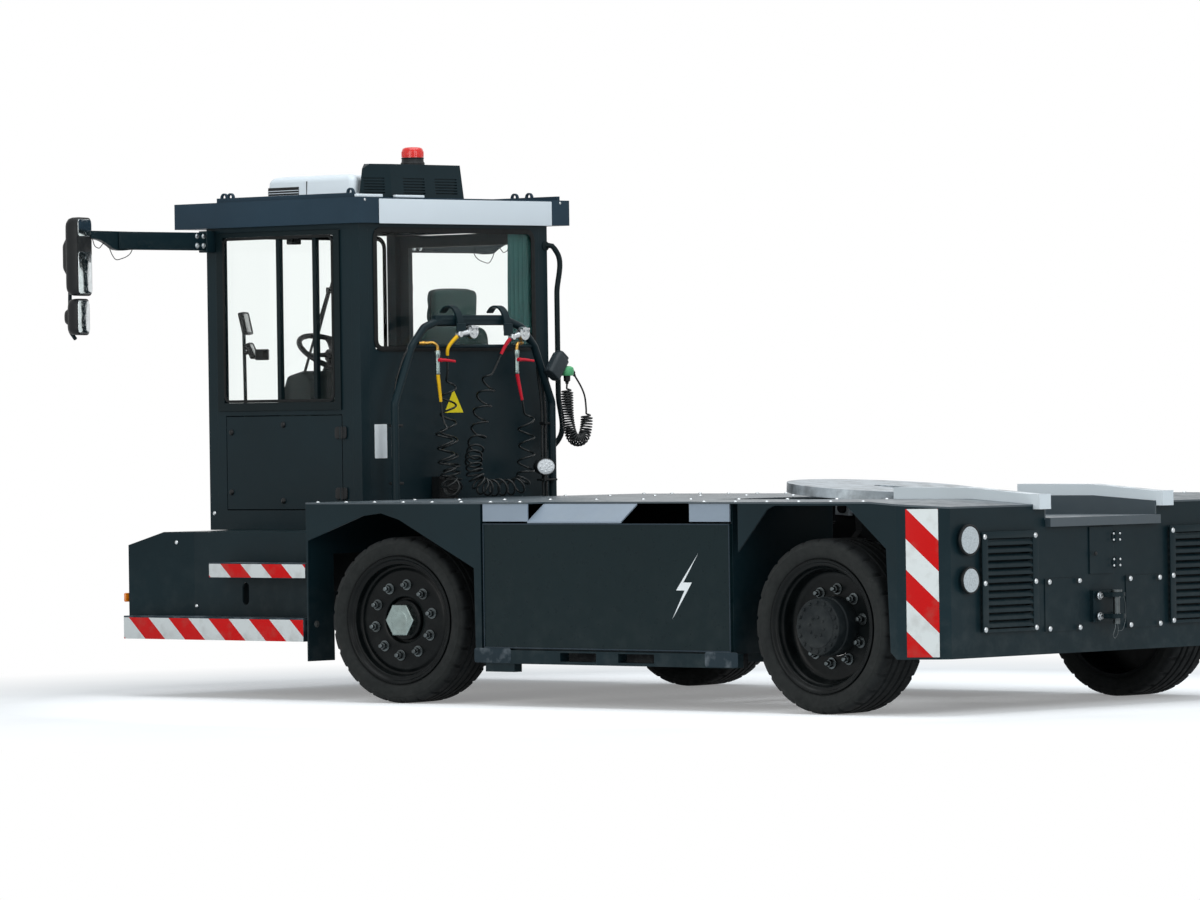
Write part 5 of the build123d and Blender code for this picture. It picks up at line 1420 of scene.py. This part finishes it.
def build_air_lines():
    """Valves, couplings and sleeves on the rack, and the two coiled hoses."""
    first = [ball_valve(YELLOW_ROUTE, 1), ball_valve(RED_ROUTE, -1)]
    second = [gland_hand(YELLOW_ROUTE, (0.143, 1.746), (0.056, 1.759)),
              gland_hand(RED_ROUTE, (-0.230, 1.733), (-0.306, 1.750))]
    piece("valve_bodies", first[0][0] + first[1][0], "cap_steel")
    piece("valve_elbows", first[0][1] + first[1][1], "brass", 40, ("air_valves",))
    piece("valve_levers", first[0][2] + first[1][2], "sleeve_red", 40)
    piece("coupling_heads", second[0][0] + second[1][0], "zinc")
    build_rack_top()
    yellow = ((0.0, 0.072), (0.28, 0.066), (0.38, 0.034), (0.52, 0.034), (0.60, 0.082), (1.0, 0.092))
    red = ((0.0, 0.088), (0.22, 0.080), (0.28, 0.040), (0.34, 0.070), (0.44, 0.060), (0.52, 0.027),
           (0.62, 0.032), (0.68, 0.080), (1.0, 0.088))
    for k, (word, route, pitches, start, phase) in enumerate((("yellow", YELLOW_ROUTE, yellow, 0.10, 2.6),
                                                              ("red", RED_ROUTE, red, 0.05, 0.4))):
        sleeve = piece(f"hose_sleeves_{word}", first[k][3] + second[k][1], "sleeve_" + word, 50)
        curly_cord(f"air_hose_{word}", route, COIL_R, HOSE_R, pitches, (start, 0.10), HOSE_LENGTHS[k],
                   "object", [sleeve], waver=0.05, phase=phase)


def build_cable():
    """Close-wound electric cable, the parked plug and the slanted holder."""
    top, side = front(*CABLE_ROUTE[0]), front(*CABLE_ROUTE[-1])
    x, y, z = top[0], top[1], 1.553
    collar = [(0.0002, 0.0), (0.0075, 0.0), (0.0090, 0.010), (0.0165, 0.016), (0.0175, 0.040),
              (0.0245, 0.044), (0.0255, 0.058), (0.0215, 0.062)]
    plug = [lathe(collar, 28, top, basis_of(UP))]
    axis = unit(beyond(CABLE_ROUTE[::-1], 1.0) - side)
    gland = [(0.0002, 0.0), (0.0065, 0.0), (0.0085, 0.012), (0.0125, 0.016), (0.0130, 0.034), (0.0110, 0.040)]
    plug.append(lathe(gland, 24, side, basis_of(axis)))
    cap = [(0.0300, 0.0), (0.0335, 0.006), (0.0345, 0.030), (0.0320, 0.040), (0.0200, 0.047), (0.0002, 0.049)]
    head = [lathe([(0.0002, 0.0)] + cap, 32, (x, y, z - 0.012), basis_of(UP))]
    plug_body = piece("cable_plug", plug, "black_plastic", 40)
    piece("plug_cap", head, "plug_green", 40, ("cable_socket",))
    lean = math.radians(38)
    axes = (AHEAD, (0, math.cos(lean), math.sin(lean)), (0, -math.sin(lean), math.cos(lean)))
    spot = np.array((x + 0.005, y + 0.070, z + 0.034))
    holder = [placed(slab(0.060, 0.088, 0.118, 0.020, 0.006), spot, axes),
              placed(slab(0.050, 0.070, 0.020, 0.016, 0.005), spot + np.array(axes[2]) * 0.066, axes),
              tube(smooth_line([(x + 0.01, y + 0.035, z - 0.002), (x + 0.04, y + 0.05, z - 0.004),
                                (FRONT_AXLE_X + RACK_X, -0.538, z - 0.002)], 10), 0.012, 12)]
    piece("plug_holder", holder, "grey_plastic")
    pitches = ((0.0, 0.0125), (0.40, 0.0125), (0.62, 0.0135), (1.0, 0.0135))
    curly_cord("electric_cable", CABLE_ROUTE, CABLE_COIL_R, CABLE_R, pitches, (0.012, 0.20), CABLE_LENGTH,
               "plug", [plug_body], grow=0.03)


# Stage
def build_stage(tractor):
    """Pale floor with a white surround, soft lamps and the camera."""
    scene = bpy.context.scene
    scene.view_settings.view_transform = "Standard"
    floor = bpy.data.meshes.new("floor")
    corners = [(x * FLOOR_REACH, y * FLOOR_REACH, 0) for x, y in ((-1, -1), (1, -1), (1, 1), (-1, 1))]
    floor.from_pydata(corners, [], [(0, 1, 2, 3)])
    ground = bpy.data.objects.new("floor", floor)
    scene.collection.objects.link(ground)
    floor.materials.append(floor_look())
    build_sky(scene, tractor.sky_level)
    for name, place, target, size, power, colour in (
            ("sky_lamp", (-0.5, 0.5, 8.0), (0, 0, 0.8), 9.0, 520, (0.93, 0.97, 1.0)),
            ("rear_lamp", (-9.0, 2.5, 4.0), (-2.0, 0, 0.9), 5.0, 230, (0.93, 0.97, 1.0)),
            ("side_lamp", (-1.0, 10.0, 3.5), (0, 0, 0.8), 6.0, 260, (1.0, 0.99, 0.96))):
        lamp(name, place, target, size, power * tractor.lamp_level, colour)
    set_camera()


def build_sky(scene, level):
    """A white surround for the camera, mirrors and glass, and a dimmer bluish one that lights the object."""
    scene.world = bpy.data.worlds.new("studio")
    scene.world.use_nodes = True
    nodes = NodeTree(scene.world.node_tree)
    seen = nodes.seen_directly()
    sky = nodes.tree.nodes["Background"].inputs
    nodes.feed(sky["Color"], nodes.mix(seen, (0.80, 0.90, 1.0, 1.0), (1.0, 1.0, 1.0, 1.0)))
    nodes.feed(sky["Strength"], nodes.band(seen, 0.0, 1.0, level, 1.0))


def floor_look():
    """Pale concrete that keeps the shadow near the object. For camera, mirror and glass rays it gives way
    to plain white light with distance from the middle, by a straight ramp between two distances."""
    made = Finish("floor_concrete")
    seen = made.seen_directly()
    reach = made.add("VectorMath", {"operation": "LENGTH"}, Vector=made.place).outputs["Value"]
    far = made.math("MULTIPLY", seen, made.band(reach, FLOOR_NEAR, FLOOR_FAR))
    tone = made.drift(0.8, 6, linear("ececeb"), linear("f6f6f5"))
    near_glow = made.math("MULTIPLY", seen, FLOOR_GLOW)
    made.set(Base_Color=made.mix(far, tone, (0, 0, 0, 1)), Emission_Color=(1, 1, 1, 1),
             Emission_Strength=made.math("MAXIMUM", far, near_glow), Specular_IOR_Level=0.0,
             Roughness=made.uneven(3, 4, 0.85, 0.95))
    return made.relief(made.noise(60, 4), 0.05, 0.002)


def lamp(name, place, target, size, power, colour):
    """A round soft lamp that faces a target."""
    data = bpy.data.lights.new(name, "AREA")
    data.shape = "DISK"
    data.size = size
    data.energy = power
    data.color = colour
    made = bpy.data.objects.new(name, data)
    made.location = place
    made.rotation_euler = (Vector(target) - Vector(place)).to_track_quat("-Z", "Y").to_euler()
    bpy.context.scene.collection.objects.link(made)


def set_camera():
    """The camera looks along its turn and pitch, and leans by its roll."""
    ahead = np.array((math.cos(CAMERA_PITCH) * math.cos(CAMERA_TURN),
                      math.cos(CAMERA_PITCH) * math.sin(CAMERA_TURN), math.sin(CAMERA_PITCH)))
    right = unit(np.cross(ahead, UP))
    above = np.cross(right, ahead)
    c, s = math.cos(CAMERA_ROLL), math.sin(CAMERA_ROLL)
    right, above = c * right + s * above, -s * right + c * above
    data = bpy.data.cameras.new("camera")
    data.lens = CAMERA_LENS_MM
    data.sensor_width = 36.0
    data.clip_start, data.clip_end = 0.5, 300.0
    made = bpy.data.objects.new("camera", data)
    turn = Matrix((right, above, -ahead)).transposed().to_4x4()
    made.matrix_world = Matrix.Translation(CAMERA_PLACE) @ turn
    bpy.context.scene.collection.objects.link(made)
    bpy.context.scene.camera = made


# Settings, operators and panel
class TractorSettings(bpy.types.PropertyGroup):
    """What a user would change before the pieces are built."""
    body_colour: FloatVectorProperty(name="Body colour", description="Paint of the body and the cab",
                                     subtype="COLOR", min=0.0, max=1.0, default=linear("0f2025")[:3])
    roof_colour: FloatVectorProperty(name="Roof colour", description="Paint of the cab's roof",
                                     subtype="COLOR", min=0.0, max=1.0, default=linear("233541")[:3])
    tyre_lugs: IntProperty(name="Tyre lugs", description="Shoulder blocks round a tyre", default=26, min=12)
    grille_louvres: IntProperty(name="Louvres", description="Rows in each rear grille", default=12, min=4)
    curtain_folds: IntProperty(name="Curtain folds", description="Folds across the curtain", default=6, min=2)
    lamp_level: FloatProperty(name="Lamp level", description="Power of the studio lamps", default=1.0,
                              min=0.0, subtype="FACTOR")
    sky_level: FloatProperty(name="Sky level", description="Strength of the sky on the object", default=0.45,
                             min=0.0, subtype="FACTOR")


class TRACTOR_OT_stage(bpy.types.Operator):
    """Floor, lamps, surround and camera"""
    bl_idname = "tractor.stage"
    bl_label = "Stage"
    bl_options = {"REGISTER", "UNDO"}

    def execute(self, context):
        build_stage(context.scene.tractor)
        return {"FINISHED"}


class TRACTOR_OT_hoses(bpy.types.Operator):
    """Air hoses and the cable, with their valves, couplings and plug"""
    bl_idname = "tractor.hoses"
    bl_label = "Hoses and cable"
    bl_options = {"REGISTER", "UNDO"}

    def execute(self, context):
        build_air_lines()
        build_cable()
        build_work_lamp()
        return {"FINISHED"}


class TRACTOR_OT_frame_finish(bpy.types.Operator):
    """Paint, metal, rubber and glass on the frame's own parts"""
    bl_idname = "tractor.frame_finish"
    bl_label = "Finish of the frame"
    bl_options = {"REGISTER", "UNDO"}

    def execute(self, context):
        dress_frame()
        return {"FINISHED"}


class TRACTOR_OT_wheels(bpy.types.Operator):
    """Tyres, discs, hubs and nuts"""
    bl_idname = "tractor.wheels"
    bl_label = "Wheels"
    bl_options = {"REGISTER", "UNDO"}

    def execute(self, context):
        for end in ("front", "rear"):
            for side, word in SIDES:
                build_wheel(end, side, word, context.scene.tractor.tyre_lugs)
        return {"FINISHED"}


class TRACTOR_OT_body_fittings(bpy.types.Operator):
    """Tapes, trim, screws, lamps and small fittings of the body"""
    bl_idname = "tractor.body_fittings"
    bl_label = "Body fittings"
    bl_options = {"REGISTER", "UNDO"}

    def execute(self, context):
        build_tapes()
        build_battery_trim()
        build_body_screws()
        build_rear_lamps()
        build_grilles(context.scene.tractor.grille_louvres)
        build_pocket_shade_plates()
        build_rear_fittings()
        return {"FINISHED"}


class TRACTOR_OT_roof(bpy.types.Operator):
    """White fascia, cooler and beacon"""
    bl_idname = "tractor.roof"
    bl_label = "Roof"
    bl_options = {"REGISTER", "UNDO"}

    def execute(self, context):
        build_roof()
        return {"FINISHED"}


class TRACTOR_OT_mirrors(bpy.types.Operator):
    """Mirrors on their arms"""
    bl_idname = "tractor.mirrors"
    bl_label = "Mirrors"
    bl_options = {"REGISTER", "UNDO"}

    def execute(self, context):
        for side, word in SIDES:
            build_mirror_heads(side, word)
            build_mirror_arm(side, word)
        return {"FINISHED"}


class TRACTOR_OT_cab(bpy.types.Operator):
    """Fittings, front lamps and signs of the cab"""
    bl_idname = "tractor.cab"
    bl_label = "Cab fittings"
    bl_options = {"REGISTER", "UNDO"}

    def execute(self, context):
        build_cab_fittings()
        build_wiper()
        build_front_lamps()
        build_grab_rail()
        build_signs()
        return {"FINISHED"}


class TRACTOR_OT_cab_inside(bpy.types.Operator):
    """Seat, curtain, steering wheel and screens"""
    bl_idname = "tractor.cab_inside"
    bl_label = "Cab inside"
    bl_options = {"REGISTER", "UNDO"}

    def execute(self, context):
        build_seat()
        build_curtain(context.scene.tractor.curtain_folds)
        build_controls()
        return {"FINISHED"}


OPERATORS = (TRACTOR_OT_stage, TRACTOR_OT_hoses, TRACTOR_OT_frame_finish, TRACTOR_OT_wheels,
             TRACTOR_OT_body_fittings, TRACTOR_OT_roof, TRACTOR_OT_mirrors, TRACTOR_OT_cab,
             TRACTOR_OT_cab_inside)


class TRACTOR_PT_panel(bpy.types.Panel):
    """The settings and one button for each operator"""
    bl_label = "Yard tractor"
    bl_idname = "TRACTOR_PT_panel"
    bl_space_type = "VIEW_3D"
    bl_region_type = "UI"
    bl_category = "Tractor"

    def draw(self, context):
        """Lists the settings, then the operators."""
        settings = context.scene.tractor
        for name in TractorSettings.__annotations__:
            self.layout.prop(settings, name)
        for operator in OPERATORS:
            self.layout.operator(operator.bl_idname)


CLASSES = (TractorSettings, *OPERATORS, TRACTOR_PT_panel)


def register():
    """Adds the classes and the settings to Blender."""
    for one in CLASSES:
        bpy.utils.register_class(one)
    bpy.types.Scene.tractor = PointerProperty(type=TractorSettings)


def unregister():
    """Takes them out again."""
    del bpy.types.Scene.tractor
    for one in reversed(CLASSES):
        bpy.utils.unregister_class(one)


def main():
    """Builds everything in order."""
    register()
    for operator in OPERATORS:
        getattr(bpy.ops.tractor, operator.bl_idname.split(".")[1])()


if __name__ == "__main__":
    main()
